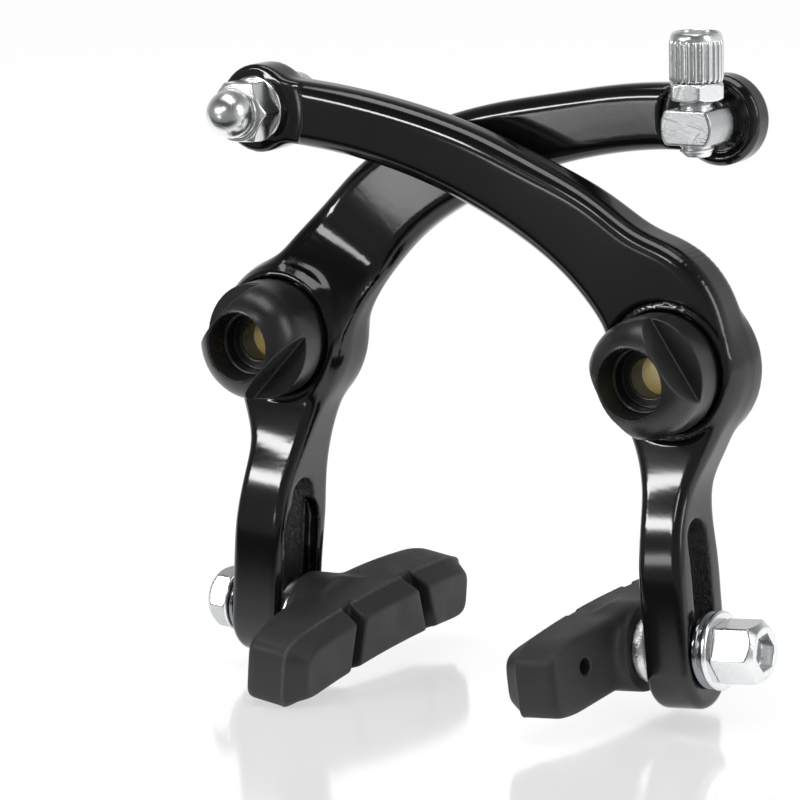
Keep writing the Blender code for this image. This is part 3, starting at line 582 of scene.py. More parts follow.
def wound_wire():
    """A wire on a helix, for threads and springs."""
    tree, given, result = node_group(
        "wound_wire", "GeometryNodeTree",
        {"Turns": "Float", "Radius": "Float", "Rise": "Float", "Wire": "Float",
         "Sides": "Int", "Start": "Float", "Finish": "Material"},
        {"Geometry": "Geometry"})
    helix, ring, sweep, lift, move, real, coat = new_nodes(
        tree, "GeometryNodeCurveSpiral", "GeometryNodeCurvePrimitiveCircle",
        "GeometryNodeCurveToMesh", "ShaderNodeCombineXYZ", "GeometryNodeTransform",
        "GeometryNodeRealizeInstances", "GeometryNodeSetMaterial")
    helix.inputs["Resolution"].default_value = 64
    sweep.inputs["Fill Caps"].default_value = True
    wire(tree,
         (given, "Turns", helix, "Rotations"), (given, "Radius", helix, "Start Radius"),
         (given, "Radius", helix, "End Radius"), (given, "Rise", helix, "Height"),
         (given, "Sides", ring, "Resolution"), (given, "Wire", ring, "Radius"),
         (helix, "Curve", sweep, "Curve"), (ring, "Curve", sweep, "Profile Curve"),
         (given, "Start", lift, "Z"), (lift, "Vector", move, "Translation"),
         (sweep, "Mesh", move, "Geometry"), (move, "Geometry", real, "Geometry"),
         (real, "Geometry", coat, "Geometry"), (given, "Finish", coat, "Material"),
         (coat, "Geometry", result, "Geometry"))
    return tree


def ribs_round_drum():
    """Straight ribs with tapered ends, side by side round a drum."""
    tree, given, result = node_group(
        "ribs_round_drum", "GeometryNodeTree",
        {"Count": "Int", "Radius": "Float", "Low": "Float", "High": "Float",
         "Rib": "Float", "Finish": "Material"},
        {"Geometry": "Geometry"})
    foot, top, line, dense, along, ease, taper = new_nodes(
        tree, "ShaderNodeCombineXYZ", "ShaderNodeCombineXYZ", "GeometryNodeCurvePrimitiveLine",
        "GeometryNodeResampleCurve", "GeometryNodeSplineParameter", "ShaderNodeFloatCurve",
        "GeometryNodeSetCurveRadius")
    ring, sweep, spots, place, real, coat = new_nodes(
        tree, "GeometryNodeCurvePrimitiveCircle", "GeometryNodeCurveToMesh",
        "GeometryNodeMeshCircle", "GeometryNodeInstanceOnPoints",
        "GeometryNodeRealizeInstances", "GeometryNodeSetMaterial")
    curve = ease.mapping.curves[0]
    curve.points[0].location = (0.0, 0.55)
    curve.points[1].location = (1.0, 0.3)
    for x, y in ((0.06, 0.92), (0.12, 1.0), (0.8, 1.0), (0.92, 0.8)):
        curve.points.new(x, y)
    ease.mapping.update()
    dense.inputs["Count"].default_value = 26
    ring.inputs["Resolution"].default_value = 12
    sweep.inputs["Fill Caps"].default_value = True
    wire(tree,
         (given, "Low", foot, "Z"), (given, "High", top, "Z"),
         (foot, "Vector", line, "Start"), (top, "Vector", line, "End"),
         (line, "Curve", dense, "Curve"), (dense, "Curve", taper, "Curve"),
         (along, "Factor", ease, "Value"), (ease, "Value", taper, "Radius"),
         (given, "Rib", ring, "Radius"), (taper, "Curve", sweep, "Curve"),
         (ring, "Curve", sweep, "Profile Curve"), (ease, "Value", sweep, "Scale"),
         (given, "Count", spots, "Vertices"), (given, "Radius", spots, "Radius"),
         (spots, "Mesh", place, "Points"), (sweep, "Mesh", place, "Instance"),
         (place, "Instances", real, "Geometry"), (real, "Geometry", coat, "Geometry"),
         (given, "Finish", coat, "Material"), (coat, "Geometry", result, "Geometry"))
    return tree


def grown(tree, values):
    """The mesh, in mm, that a tree makes with the given inputs, which are in metres."""
    carrier = bpy.data.objects.new("carrier", bpy.data.meshes.new("carrier"))
    scene.collection.objects.link(carrier)
    mod = carrier.modifiers.new("tree", "NODES")
    mod.node_group = tree
    for item in tree.interface.items_tree:
        if item.in_out == "INPUT" and item.name in values:
            mod[item.identifier] = values[item.name]
    bpy.context.view_layer.update()
    done = carrier.evaluated_get(bpy.context.evaluated_depsgraph_get())
    mesh = bpy.data.meshes.new_from_object(done)
    carrier.modifiers.clear()
    bpy.data.objects.remove(carrier)
    verts = np.array([v.co for v in mesh.vertices]) / MM
    faces = [tuple(p.vertices) for p in mesh.polygons]
    return verts, faces


def merged(*parts):
    """Several meshes as one list of vertices and one of faces."""
    verts, faces, base = [], [], 0
    for v, f in parts:
        verts.append(np.asarray(v, float))
        faces += [tuple(int(i) + base for i in face) for face in f]
        base += len(v)
    return np.concatenate(verts), faces


WINDING, RIBS = wound_wire(), ribs_round_drum()


# ---- the cast arms ----

def down_tab(down):
    return POST[0] + math.sin(TILT) * down, POST[2] - math.cos(TILT) * down


# Stations along an arm: u, z, half width, front, back and corner radius.
UPPER = {
    "right": [(EYE[0] + 2, EYE[1], 5.8, 12.2, 20.3, 3.0), (-74, 40.4, 5.8, 12.2, 20.3, 3.0),
              (-64, 39.2, 5.9, 12.2, 20.3, 3.3), (-52, 36.8, 6.1, 12.2, 20.3, 3.3),
              (-40, 33.2, 6.5, 12.2, 20.3, 3.3), (-29, 28.5, 6.8, 12.2, 21.0, 3.3),
              (-18.6, 23.2, 7.5, 12.2, 21.4, 2.8), (-10.2, 16.6, 8.4, 12.2, 22.2, 3.0),
              (-2.2, 10.2, 12.3, 12.3, 22.6, 3.0), (0, 0, 12.2, 12.6, 22.4, 3.0)],
    "left": [(EYE[0] + 2, EYE[1] + 0.1, 5.8, 24.6, 31.4, 3.0), (-74, 41.2, 5.8, 24.6, 31.4, 2.8),
             (-64, 40.4, 5.9, 24.6, 31.4, 2.8), (-52, 38.2, 6.1, 24.4, 31.4, 2.8),
             (-40, 35.2, 7.1, 24.0, 31.2, 2.8), (-28.3, 30.8, 8.1, 23.4, 30.6, 3.0),
             (-18.2, 24.8, 8.7, 22.4, 29.4, 3.0), (-11.2, 16.9, 8.9, 20.9, 27.4, 3.0),
             (-7.9, 11.9, 9.4, 16.6, 25.0, 3.0), (-5.1, 6.6, 10.2, 13.8, 23.0, 3.0),
             (0, 0, 11.8, 13.3, 22.4, 3.0)],
}
LOWER = [(0.2, 1.5, 12.0, 14.6, 22.8, 3.0), (0.2, -6.0, 11.2, 13.8, 22.8, 3.0),
         (0.55, -13.0, 7.8, 12.4, 22.4, 2.8), (0.6, -19.5, 5.1, 10.6, 20.8, 2.2),
         (1.2, -26.0, 4.3, 7.6, 20.4, 1.8), (*down_tab(-16.0), 4.5, 6.1, 20.6, 1.6),
         (*down_tab(-8.0), 4.5, 5.9, 20.5, 1.6), (*down_tab(2.3), 4.5, 5.9, 20.5, 1.6)]
TAB_EXTRA = {"right": 0.0, "left": 0.75}    # how much stouter the left arm's tab is

# The boss's front shoulder, as points of (radius, depth).
BOSS_RISE = {"right": [(11.75, 13.5), (12.3, 14.4), (13.0, 16.6)],
             "left": [(11.7, 13.2), (12.6, 14.6), (13.3, 16.8)]}
BOSS_FLOW = {"right": 1.8, "left": 3.0}    # fillet where the boss meets the arm
CAP_ROOM_R, CAP_ROOM = 12.3, 13.5    # cleared in front of the boss for the cap
EYE_ROOM_R = 10.4
POCKET_R, POCKET_FRONT, POCKET_FLOOR = 10.85, 12.9, 21.4
HUB_R, HUB_FRONT = 6.9, 15.6
SLOT_R, SLOT_ENDS = 3.25, (-20.4, 1.5)
RECESS_R, RECESS_ENDS, RECESS_FLOOR = 5.6, (-14.9, 1.5), -3.9


def slot_marks(u, y, z):
    """Distance to the post slot's wall, and the local (back, down, out) of a point."""
    du, dz = u - POST[0], z - POST[2]
    down = du * math.sin(TILT) - dz * math.cos(TILT)
    out = du * math.cos(TILT) + dz * math.sin(TILT)
    back = y - POST[1]
    return np.hypot(back, down - np.clip(down, *SLOT_ENDS)) - SLOT_R, back, down, out


def arm_field(side):
    """One casting: the bent bar with its boss and eye, less its bores and hollows."""
    rows = []
    for u, z, half, front, back, r in LOWER:
        extra = TAB_EXTRA[side] * min(1.0, max(0.0, (-7.0 - z) / 9.0))
        deeper = extra * (1.0 + 1.2 * math.exp(-((z + 27.0) / 9.0) ** 2))
        rows.append((u - extra, z, half + extra, front, back + deeper, r))
    upper, lower = limb(UPPER[side]), limb(rows, 120)
    face, rear = EYE_FACES[side]
    spot = face + SPOT_DEPTH
    boss = [(0, POCKET_FRONT), (11.1, POCKET_FRONT), *BOSS_RISE[side], (13.6, 19.6),
            (13.7, 21.0), (13.7, 22.1), (13.2, 23.1), (12.2, 23.6), (0, 23.6)]
    if side == "right":
        knob = [(0, spot - 0.04), (7.3, spot - 0.04), (EYE_R, spot + 0.5)]
    else:
        knob = [(0, spot + 0.7), (5.8, spot + 0.7), (6.3, spot - 0.04), (7.0, spot - 0.04),
                (EYE_R, spot + 0.9)]
    knob += [(EYE_R, rear - 1.6), (EYE_R - 0.5, rear - 0.6), (EYE_R - 1.6, rear - 0.05),
             (0, rear - 0.05)]

    def field(u, y, z):
        r, e = np.hypot(u, z), np.hypot(u - EYE[0], z - EYE[1])
        body = join(upper(u, y, z), lower(u, y, z), 5.0)
        body = carve(body, -np.maximum(r - CAP_ROOM_R, y - CAP_ROOM), 0.7)
        body = carve(body, -np.maximum(e - EYE_ROOM_R, y - spot), 0.8)
        body = join(body, polygon(boss, r, y, 0.35), BOSS_FLOW[side])
        body = join(body, polygon(knob, e, y, 0.35), 2.6)
        narrow = np.clip(y - POCKET_FRONT, 0, 1) * 0.5
        pocket = np.maximum(r - POCKET_R + narrow, y - POCKET_FLOOR)
        hub = np.maximum(r - HUB_R, HUB_FRONT - y)
        body = carve(body, -np.maximum(pocket, -hub), 0.25)
        body = carve(body, SLEEVE_BORE - r, 0.4)
        body = carve(body, EYE_BORE - e, 0.3)
        slot, back, down, out = slot_marks(u, y, z)
        body = carve(body, -slot, 0.9)
        recess = np.hypot(back, down - np.clip(down, *RECESS_ENDS)) - RECESS_R
        return carve(body, -np.maximum(recess, out - RECESS_FLOOR), 0.5)
    return field


def arm_casting(side):
    verts, faces = cast(arm_field(side), (-93, 4, -61), (16, 34, 51), 0.42 * STEP)
    wall = np.clip(1 - np.abs(slot_marks(*verts.T)[0]) / 0.45, 0, 1)
    piece(side + "_arm_casting", verts, faces, arm_frame(side), PAINT, side + "_arm_body",
          side + "_arm", slot="black_paint", marks={"slot_wall": wall})


# ---- at the pivots: caps, sleeves and springs ----

CAP_LEAN = {"right": -56, "left": -46.3}    # degrees that the spanner flats stand turned
FLAT_HALF, FLAT_DEPTH = 6.4, 6.5
DOME_R, DOME_PLACE = 6.74, (3.81, 6.3)    # the dome's arc and where its centre lies


def tension_cap(side):
    """Domed cap with two spanner flats, a round socket in front and a hub behind."""
    dome = [(DOME_PLACE[0] + DOME_R * math.cos(a), DOME_PLACE[1] - DOME_R * math.sin(a))
            for a in np.radians(np.linspace(69, 0, 16))]
    profile = [(5.7, 4.4), (6.14, 0.1), *dome, (10.55, 11.6), (10.25, 11.9), (10.0, 11.9),
               (10.0, 14.6), (5.45, 14.6), (5.45, 9.5), (4.0, 9.5), (4.0, 11.0), (3.5, 11.0),
               (3.5, 6.8), (5.15, 6.8), (5.2, 4.6)]
    lean = math.radians(CAP_LEAN[side])

    def field(x, y, h):
        across = np.abs(y * math.cos(lean) - x * math.sin(lean))
        shell = polygon(profile, np.hypot(x, y), h, 0.07)
        return carve(shell, -np.maximum(FLAT_HALF - across, h - FLAT_DEPTH), 0.16)
    verts, faces = cast(field, (-11.5, -11.5, -0.8), (11.5, 11.5, 15.4), 0.21 * STEP)
    piece(side + "_cap_shell", verts, faces, axle_frame(side), CAP_BLACK, side + "_cap",
          side + "_tension_cap", slot="black_cap")


def pivot_sleeve(side):
    profile = [(4.05, 9.9), (4.35, 9.6), (4.92, 9.6), (5.22, 9.9), (5.22, 24.0), (7.12, 24.0),
               (7.12, 26.0), (4.05, 26.0)]
    turned_piece(side + "_sleeve_lining", profile, axle_frame(side), BRASS, "pivots",
                 side + "_pivot_sleeve", "sleeve_brass", sharp=35)


def return_spring(side):
    coil = grown(WINDING, {"Turns": 1.6, "Radius": 0.00865, "Rise": 0.0036, "Wire": 0.00095,
                           "Sides": 16, "Start": 0.0166, "Finish": STEEL})
    piece(side + "_spring_wire", *coil, axle_frame(side), STEEL, side + "_arm_body",
          side + "_return_spring", slot="spring_steel", sharp=50)


# ---- on the posts: pads and their hardware ----

# How each pad stands: its rise at the middle in mm, and its pitch and roll in degrees.
PAD_STANCE = {"right": (1.1, 2.6, 0.0), "left": (-0.25, 4.8, 4.0)}
PAD_ENDS = (-12.6, 46.6)    # depths of its two ends
PAD_HALF, PAD_THICK = 6.5, 13.4
PARTING = 3.6    # from the braking face to the mould's parting line
PAD_ARCH = 520    # it bends by its length squared over this
GROOVES = ((-10.2, 8.0), (13.0, -22.0))    # place from the middle, and lean in degrees
GROOVE_HALF, GROOVE_DEPTH = 1.5, 4.0
SEAT_R = 7.6
HOLE_R, HOLE_DEPTH, HOLE_PLACE = 1.5, 6, (-17.2, -1.3)


def pad_block(side):
    """Moulded block: arched, chamfered up to its face, with two grooves and a round seat."""
    rise, pitch, roll = PAD_STANCE[side]
    seat_high = PAD_SEAT[side]
    back = PAD_END - seat_high
    face = back - PAD_THICK
    part = face + PARTING
    first, last = (end - POST[1] for end in PAD_ENDS)
    middle = (first + last) / 2
    hinge = Matrix.Translation((0, 0, back))
    local = (Matrix.Rotation(-math.radians(pitch), 4, "Z") @ hinge
             @ Matrix.Rotation(math.radians(roll), 4, "X") @ hinge.inverted())
    grid = np.array(local.inverted())

    def field(x, y, h):
        a, b, c = (grid[i, 0] * x + grid[i, 1] * y + grid[i, 2] * h + grid[i, 3]
                   for i in range(3))
        arch = (a - middle) ** 2 / PAD_ARCH - rise
        b = b - arch
        t = np.clip((a - first) / (last - first), 0, 1)
        end = np.minimum(t, 1 - t) * (last - first)
        half = PAD_HALF - 1.2 * np.maximum(0, 1 - end / 7.5) ** 2
        outer = back - 2.0 * (np.abs(t - 0.5) * 2) ** 2.2
        ahead = np.maximum(part - c, 0)
        lip = 0.26 * np.clip((part - c) / 0.3 + 0.5, 0, 1) - 0.14 * np.exp(-((c - part) / 0.2) ** 2)
        sides = (np.abs(b) - half + lip + ahead * 0.5) / (1 + 0.12 * (ahead > 0))
        tips = np.maximum(first - a, a - last)
        tips = (tips + lip + ahead * 0.66) / (1 + 0.2 * (ahead > 0))
        body = carve(sides, tips, 3.0)
        body = carve(carve(body, c - outer, 2.4), face - c, 0.9)
        for place, lean in GROOVES:
            w = math.radians(lean)
            run = (a - middle - place) * math.cos(w) + b * math.sin(w)
            groove = np.maximum(np.abs(run) - GROOVE_HALF, c - face - GROOVE_DEPTH)
            body = carve(body, -groove, 0.7)
        r = np.hypot(x, y)
        seat = carve(r - SEAT_R, h - back - seat_high, 0.8)
        body = join(body, np.maximum(seat, back - 4 - h), 3.6)
        hole = np.hypot(a - HOLE_PLACE[0], b + arch - HOLE_PLACE[1]) - HOLE_R
        body = carve(body, -np.maximum(hole, back - HOLE_DEPTH - c), 0.3)
        return np.maximum(body, -np.maximum(r - 3.01, back - 6.4 - h))
    verts, faces = cast(field, (-28, -11, -27.5), (35.5, 12.5, -6.6), 0.27 * STEP)
    depth = (verts @ grid[:3, :3].T + grid[:3, 3])[:, 2]
    seam = np.clip(1.15 - np.abs(depth - part) / 0.26, 0, 1)
    piece(side + "_pad_block", verts, faces, post_frame(side), RUBBER, side + "_pad_set",
          side + "_pad", slot="pad_rubber", marks={"seam": seam})


NUT_ACROSS, KEY_ACROSS, KEY_DEPTH = 10.0, 5.9, 2.4
NUT_TURN = math.radians(-6)


def sleeve_nut(side):
    """Long hexagon nut with a hexagon socket in its end."""
    low, high = NUT_ENDS[side]
    blank = [(3.03, low), (5.2, low), (5.8, low + 0.3), (5.85, high - 1.5), (4.35, high),
             (3.1, high), (2.7, high - 0.4), (2.7, high - KEY_DEPTH), (3.03, high - 2.5)]

    def field(x, y, h):
        body = polygon(blank, np.hypot(x, y), h, 0.08)
        body = carve(body, hexagon(x, y, NUT_ACROSS, NUT_TURN), 0.22)
        key = np.maximum(hexagon(x, y, KEY_ACROSS, NUT_TURN, 0.1), high - KEY_DEPTH - h)
        return carve(body, -key, 0.18)
    verts, faces = cast(field, (-6.6, -6.6, low - 0.8), (6.6, 6.6, high + 0.8), 0.15 * STEP)
    # The left nut is the same plating as the right one; its darker zinc is painted shade.
    piece(side + "_nut_sleeve", verts, faces, post_frame(side),
          ZINC if side == "right" else ZINC_SHADED, side + "_pad_set", side + "_pad_nut",
          slot="zinc")


def thread(radius, wire_r, low, length):
    """A thread of 1 mm pitch, all in mm, upwards from a height."""
    return grown(WINDING, {"Turns": length, "Radius": radius * MM, "Rise": length * MM,
                           "Wire": wire_r * MM, "Sides": 6, "Start": low * MM, "Finish": ZINC})


def pad_post(side):
    back = PAD_END - PAD_SEAT[side]
    high = NUT_ENDS[side][1]
    core = turned([(0, back - 6), (2.45, back - 6), (2.75, back - 5.7), (2.75, high - 3.2),
                   (2.4, high - 2.7), (0, high - 2.7)], 64)
    ridges = thread(2.74, 0.2, back + 0.8, (high - 3.1) - (back + 1.0))
    piece(side + "_post_rod", *merged(core, ridges), post_frame(side), ZINC,
          side + "_pad_set", side + "_pad_post", slot="zinc", sharp=40)


def post_washers(side):
    """Spacer inside the tab, cupped and flanged washers outside it."""
    post, body = post_frame(side), side + "_carrier"
    spacer = [(3.03, -7.4), (5.8, -7.4), (6.1, -7.1), (6.1, -6.2), (5.98, -5.65), (5.75, -5.2),
              (5.4, -4.75), (5.0, -4.4), (4.1, -3.95), (3.03, -3.95)]
    turned_piece(side + "_spacer_cone", spacer, post, ZINC_GRAIN, body, side + "_pad_spacer",
                 "zinc")
    low, top, rad = {"right": (4.55, 6.6, 6.8), "left": (4.55, 6.0, 6.1)}[side]
    cup = [(3.03, low), (rad - 0.5, low), (rad, low + 0.4), (rad - 0.1, low + 0.9),
           (rad - 0.5, low + 1.2), (rad - 1.3, top), (3.03, top)]
    turned_piece(side + "_cup_shell", cup, post, CHROME_DARK, body, side + "_cup_washer",
                 "dark_chrome", ease=0.3)
    low, top, rad = {"right": (6.65, 7.6, 6.9), "left": (6.05, 6.75, 6.1)}[side]
    flange = [(3.03, low), (rad - 0.2, low), (rad, low + 0.2), (rad, top - 0.3),
              (rad - 0.3, top), (3.03, top)]
    turned_piece(side + "_flange_disc", flange, post, ZINC, body, side + "_flange_washer",
                 "zinc")


# ---- in the right arm's eye: the cable anchor ----

BALL_R = 4.35
DOME_NUT_ACROSS, DOME_NUT_LONG = 10.4, 6.5


def dome_nut(face):
    """Hexagon nut with a domed cap, clamped on the eye's front face."""
    front = face - DOME_NUT_LONG
    blank = [(0, front - 0.02), (5.1, front - 0.02), (6.05, front + 0.95), (6.05, face - 1.5),
             (5.7, face - 1.2), (3.05, face - 1.2), (3.05, face - 7.0), (0, face - 7.0)]

    def field(x, y, h):
        r = np.hypot(x, y)
        ball = np.where(h < front - 1.6, np.hypot(r, h - front + 1.6), r) - BALL_R
        ball = np.maximum(ball, h - front - 1)
        body = carve(polygon(blank, r, h, 0.06), hexagon(x, y, DOME_NUT_ACROSS, 0.0), 0.25)
        body = join(body, ball, 0.5)
        return np.maximum(body, -np.maximum(r - 3.05, face - 7.8 - h))
    verts, faces = cast(field, (-6.8, -6.8, 0.2), (6.8, 6.8, face - 0.6), 0.16 * STEP)
    piece("dome_cap_nut", verts, faces, axle_frame("right", *EYE), ZINC, "anchor", "dome_nut",
          slot="zinc")


def cable_anchor():
    front, rear = EYE_FACES["right"]
    face = front + SPOT_DEPTH
    eye = axle_frame("right", *EYE)
    dome_nut(face)
    shank = [(0, face - 7.6), (2.55, face - 7.6), (2.95, face - 7.2), (2.95, rear + 1.3),
             (4.9, rear + 1.3), (5.2, rear + 1.6), (5.2, rear + 6.0), (4.6, rear + 6.6),
             (0, rear + 6.6)]
    turned_piece("anchor_shank", shank, eye, ZINC, "anchor", "anchor_bolt", "zinc")
    pinch = [(3.05, rear + 0.05), (5.4, rear + 0.05), (5.4, rear + 1.0), (5.1, rear + 1.25),
             (3.05, rear + 1.25)]
    turned_piece("pinch_disc", pinch, eye, ZINC, "anchor", "anchor_pinch_washer", "zinc")
    thin = [(3.05, face - 1.15), (5.6, face - 1.15), (5.9, face - 0.85), (5.9, face - 0.05),
            (3.05, face - 0.05)]
    turned_piece("thin_disc", thin, eye, ZINC, "anchor", "anchor_washer", "zinc")


# ---- in the left arm's eye: the cable stop, with its barrel and lock nut ----

BARREL_DEPTH = 19.1    # of the barrel's axis, in the block
BLOCK_HALF = 3.05    # between the block's flats, which end where its collar begins
COLLAR = 23.5
LOCK_ACROSS, LOCK_TURN = 8.8, math.radians(-3)


def cable_stop():
    """Swivelling block with two flats, its round pin through the eye, and the pin's clip."""
    rear = EYE_FACES["left"][1]
    eye = axle_frame("left", *EYE)
    blank = [(0, 14.8), (4.6, 14.8), (4.95, 15.15), (4.95, 23.1), (4.45, 23.4), (3.95, 23.8),
             (3.95, 26.56), (2.95, 26.56), (2.95, rear + 1.5), (2.65, rear + 1.8),
             (0, rear + 1.8)]

    def field(x, y, h):
        flat = np.abs(y) - BLOCK_HALF
        body = polygon(blank, np.hypot(x, y), h, 0.08)
        body = carve(body, np.minimum(flat, COLLAR - h), 0.5)
        body = carve(body, np.maximum(np.where(h < COLLAR, flat, -1.0), -1.0), 0.35)
        return carve(body, 3.03 - np.hypot(x, h - BARREL_DEPTH), 0.2)
    verts, faces = cast(field, (-5.8, -5.8, 14.2), (5.8, 5.8, rear + 2.4), 0.16 * STEP)
    # The block's darker zinc is painted shade, which keeps its lit round side from clipping.
    piece("swivel_block", verts, faces, eye, ZINC_SHADED, "stop", "cable_stop", slot="zinc")
    clip = [(3.01, rear + 0.05), (5.0, rear + 0.05), (5.0, rear + 0.85), (3.01, rear + 0.85)]
    turned_piece("retaining_clip", clip, eye, STEEL, "stop", "cable_stop_clip", "spring_steel")


def lock_nut(place):
    blank = [(3.01, 4.8), (3.35, 4.5), (4.4, 4.5), (5.1, 5.0), (5.1, 7.0), (4.4, 7.5),
             (3.35, 7.5), (3.01, 7.2)]

    def field(x, y, h):
        body = polygon(blank, np.hypot(x, y), h, 0.05)
        return carve(body, hexagon(x, y, LOCK_ACROSS, LOCK_TURN), 0.22)
    verts, faces = cast(field, (-6.4, -6.4, 4.1), (6.4, 6.4, 7.9), 0.13 * STEP)
    piece("lock_ring_nut", verts, faces, place, ZINC, "lock_nut", "barrel_lock_nut", slot="zinc")


def barrel_adjuster(place):
    """Threaded tube with a ribbed drum on top, open for the cable's housing."""
    drum = turned([(1.4, -5.2), (2.2, -5.2), (2.62, -4.6), (2.62, 7.6), (3.9, 7.6), (4.2, 8.0),
                   (4.25, 8.4), (4.28, 14.4), (4.5, 14.7), (4.45, 15.2), (4.25, 15.7),
                   (4.05, 16.0), (3.85, 16.0), (3.7, 15.8), (3.7, 12.4), (3.05, 12.2),
                   (3.05, 5.7), (1.4, 5.7)], ease=0.2)
    ribs = grown(RIBS, {"Count": 22, "Radius": 0.00418, "Low": 0.00765, "High": 0.0151,
                        "Rib": 0.00048, "Finish": ZINC})
    ridges = thread(2.62, 0.31, -4.4, 11.6)
    piece("fluted_barrel", *merged(drum, ribs, ridges), place, ZINC, "barrel",
          "barrel_adjuster", slot="zinc", sharp=40)


# ---- making the pieces ----

for side in ("right", "left"):
    arm_casting(side)
    tension_cap(side)
    sleeve_nut(side)
    pad_block(side)
    pivot_sleeve(side)
    return_spring(side)
    pad_post(side)
    post_washers(side)
cable_anchor()
cable_stop()
upright = (arm_frame("left") @ Matrix.Translation((EYE[0], BARREL_DEPTH, EYE[1]))
           @ Matrix.Rotation(-LEFT_TURN, 4, "Y"))
lock_nut(upright)
barrel_adjuster(upright)


# ---- camera, table and light ----

TABLE_GAP = 0.0001    # metres under the lowest pad edge


def camera():
    """From in front and to the right, a little above the brake, rolled slightly."""
    turn, lift, roll = math.radians(32.5), math.radians(11.13), math.radians(-1.22)
    side = Vector((math.cos(turn), math.sin(turn), 0))
    ahead = Vector((-math.sin(turn) * math.cos(lift), math.cos(turn) * math.cos(lift),
                    -math.sin(lift)))
    up = side.cross(ahead)
    right = math.cos(roll) * side + math.sin(roll) * up
    top = -math.sin(roll) * side + math.cos(roll) * up
    eye = Vector((0.40731, -0.67433, 0.14466))
    data = bpy.data.cameras.new("camera")
    data.lens, data.sensor_width = 202.5, 36.0
    data.clip_start, data.clip_end = 0.05, 20
    obj = bpy.data.objects.new("camera", data)
    obj.matrix_world = Matrix(((right.x, top.x, -ahead.x, eye.x), (right.y, top.y, -ahead.y, eye.y),
                               (right.z, top.z, -ahead.z, eye.z), (0, 0, 0, 1)))
    scene.collection.objects.link(obj)
    scene.camera = obj


def softbox(name, place, target, wide, tall, power):
    data = bpy.data.lights.new(name, "AREA")
    data.shape, data.size, data.size_y = "RECTANGLE", wide, tall
    data.energy = power
    obj = bpy.data.objects.new(name, data)
    obj.location = place
    obj.rotation_euler = (Vector(target) - Vector(place)).to_track_quat("-Z", "Y").to_euler()
    scene.collection.objects.link(obj)


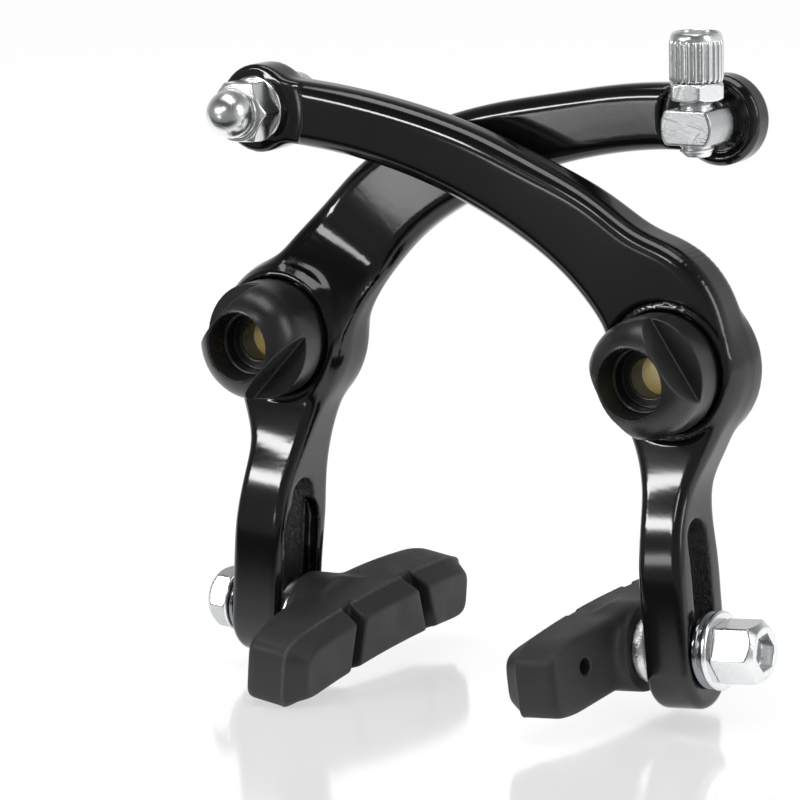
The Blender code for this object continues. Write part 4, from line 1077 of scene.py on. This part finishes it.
def pale_table(ground):
    """The camera sees it white, with a soft mirror image of the brake.

    To all other rays it is a card, dark in front of the brake and pale behind, that shines
    in the glossy ones.
    """
    (left, right), (near, far) = (-2.6, 0.9), (-0.2, 3.0)
    mesh = bpy.data.meshes.new("table")
    mesh.from_pydata([(left, near, ground), (right, near, ground), (right, far, ground),
                      (left, far, ground)], [], [(0, 1, 2, 3)])
    table = bpy.data.objects.new("table", mesh)
    scene.collection.objects.link(table)
    mat = bpy.data.materials.new("white_table")
    mat.use_nodes = True
    tree = mat.node_tree
    tree.nodes.clear()
    out, path, pick, coords, split = new_nodes(
        tree, "ShaderNodeOutputMaterial", "ShaderNodeLightPath", "ShaderNodeMixShader",
        "ShaderNodeTexCoord", "ShaderNodeSeparateXYZ")
    pale, glow, mirror, lit_pale, seen = new_nodes(
        tree, "ShaderNodeBsdfDiffuse", "ShaderNodeEmission", "ShaderNodeBsdfGlossy",
        "ShaderNodeAddShader", "ShaderNodeAddShader")
    card, glare, unseen = new_nodes(
        tree, "ShaderNodeBsdfDiffuse", "ShaderNodeEmission", "ShaderNodeAddShader")
    pale.inputs["Color"].default_value = (0.2, 0.2, 0.2, 1)
    glow.inputs["Strength"].default_value = 0.56
    mirror.inputs["Color"].default_value = (0.42, 0.42, 0.42, 1)
    mirror.inputs["Roughness"].default_value = 0.12
    wire(tree, (coords, "Object", split, 0))
    across, deep = split.outputs["X"], split.outputs["Y"]
    tone = blend(tree, spread(tree, deep, -0.1, -0.05, 0.0, 1.0),
                 (0.03, 0.03, 0.03), (0.85, 0.85, 0.85))
    tree.links.new(tone, card.inputs["Color"])
    shine = maths(tree, "MAXIMUM", spread(tree, deep, -0.1, -0.03, 0.0, 0.42),
                  spread(tree, across, 0.08, 0.3, 0.0, 0.5))
    tree.links.new(maths(tree, "MULTIPLY", path.outputs["Is Glossy Ray"], shine),
                   glare.inputs["Strength"])
    wire(tree,
         (card, 0, unseen, 0), (glare, 0, unseen, 1),
         (pale, 0, lit_pale, 0), (glow, 0, lit_pale, 1),
         (lit_pale, 0, seen, 0), (mirror, 0, seen, 1),
         (path, "Is Camera Ray", pick, "Fac"), (unseen, 0, pick, 1), (seen, 0, pick, 2),
         (pick, 0, out, "Surface"))
    mesh.materials.append(mat)
    table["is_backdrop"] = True


def bright_world():
    """White to the camera; to glossy rays brighter behind the brake and darker overhead."""
    world = bpy.data.worlds.new("studio")
    scene.world = world
    world.use_nodes = True
    tree = world.node_tree
    tree.nodes.clear()
    out, light, path, way, axes = new_nodes(
        tree, "ShaderNodeOutputWorld", "ShaderNodeBackground", "ShaderNodeLightPath",
        "ShaderNodeTexCoord", "ShaderNodeSeparateXYZ")
    wire(tree, (way, "Generated", axes, 0), (light, 0, out, "Surface"))
    from_camera, glossy, through = (path.outputs[label] for label in (
        "Is Camera Ray", "Is Glossy Ray", "Is Transmission Ray"))
    deep = maths(tree, "ADD", axes.outputs["Y"], maths(tree, "MULTIPLY", axes.outputs["X"], 0.35))
    behind = spread(tree, deep, -0.45, 0.35, 0.32, 1.0)
    above = spread(tree, axes.outputs["Z"], 0.22, 0.8, 1.0, 0.25)
    mirrored = maths(tree, "MULTIPLY", glossy, maths(tree, "MULTIPLY", behind, above))
    named = maths(tree, "ADD", from_camera, maths(tree, "ADD", glossy, through))
    other = maths(tree, "SUBTRACT", 1.0, named, clamp=True)
    clear = maths(tree, "MULTIPLY", from_camera, 1.3)
    total = maths(tree, "ADD", clear, maths(tree, "ADD", mirrored, through))
    total = maths(tree, "ADD", total, maths(tree, "MULTIPLY", other, 0.5))
    tree.links.new(total, light.inputs["Strength"])


def studio():
    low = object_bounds()[0]
    pale_table(low.z - TABLE_GAP)
    bright_world()
    softbox("overhead", (-0.05, -0.12, 0.75), (0, 0, 0), 0.7, 0.3, 2.3)
    softbox("front_left", (-0.38, -0.62, 0.27), (0, 0, 0), 0.24, 0.1, 1.5)
    softbox("front_high", (-0.09, -0.74, 0.46), (0, 0, 0), 0.16, 0.1, 0.45)
    softbox("low_card", (-0.245, -0.52, -0.01), (0.03, 0, 0.05), 0.07, 0.05, 0.06)
    softbox("right_side", (0.7, -0.1, 0.35), (0, 0, 0), 0.2, 0.5, 1.3)


camera()
studio()
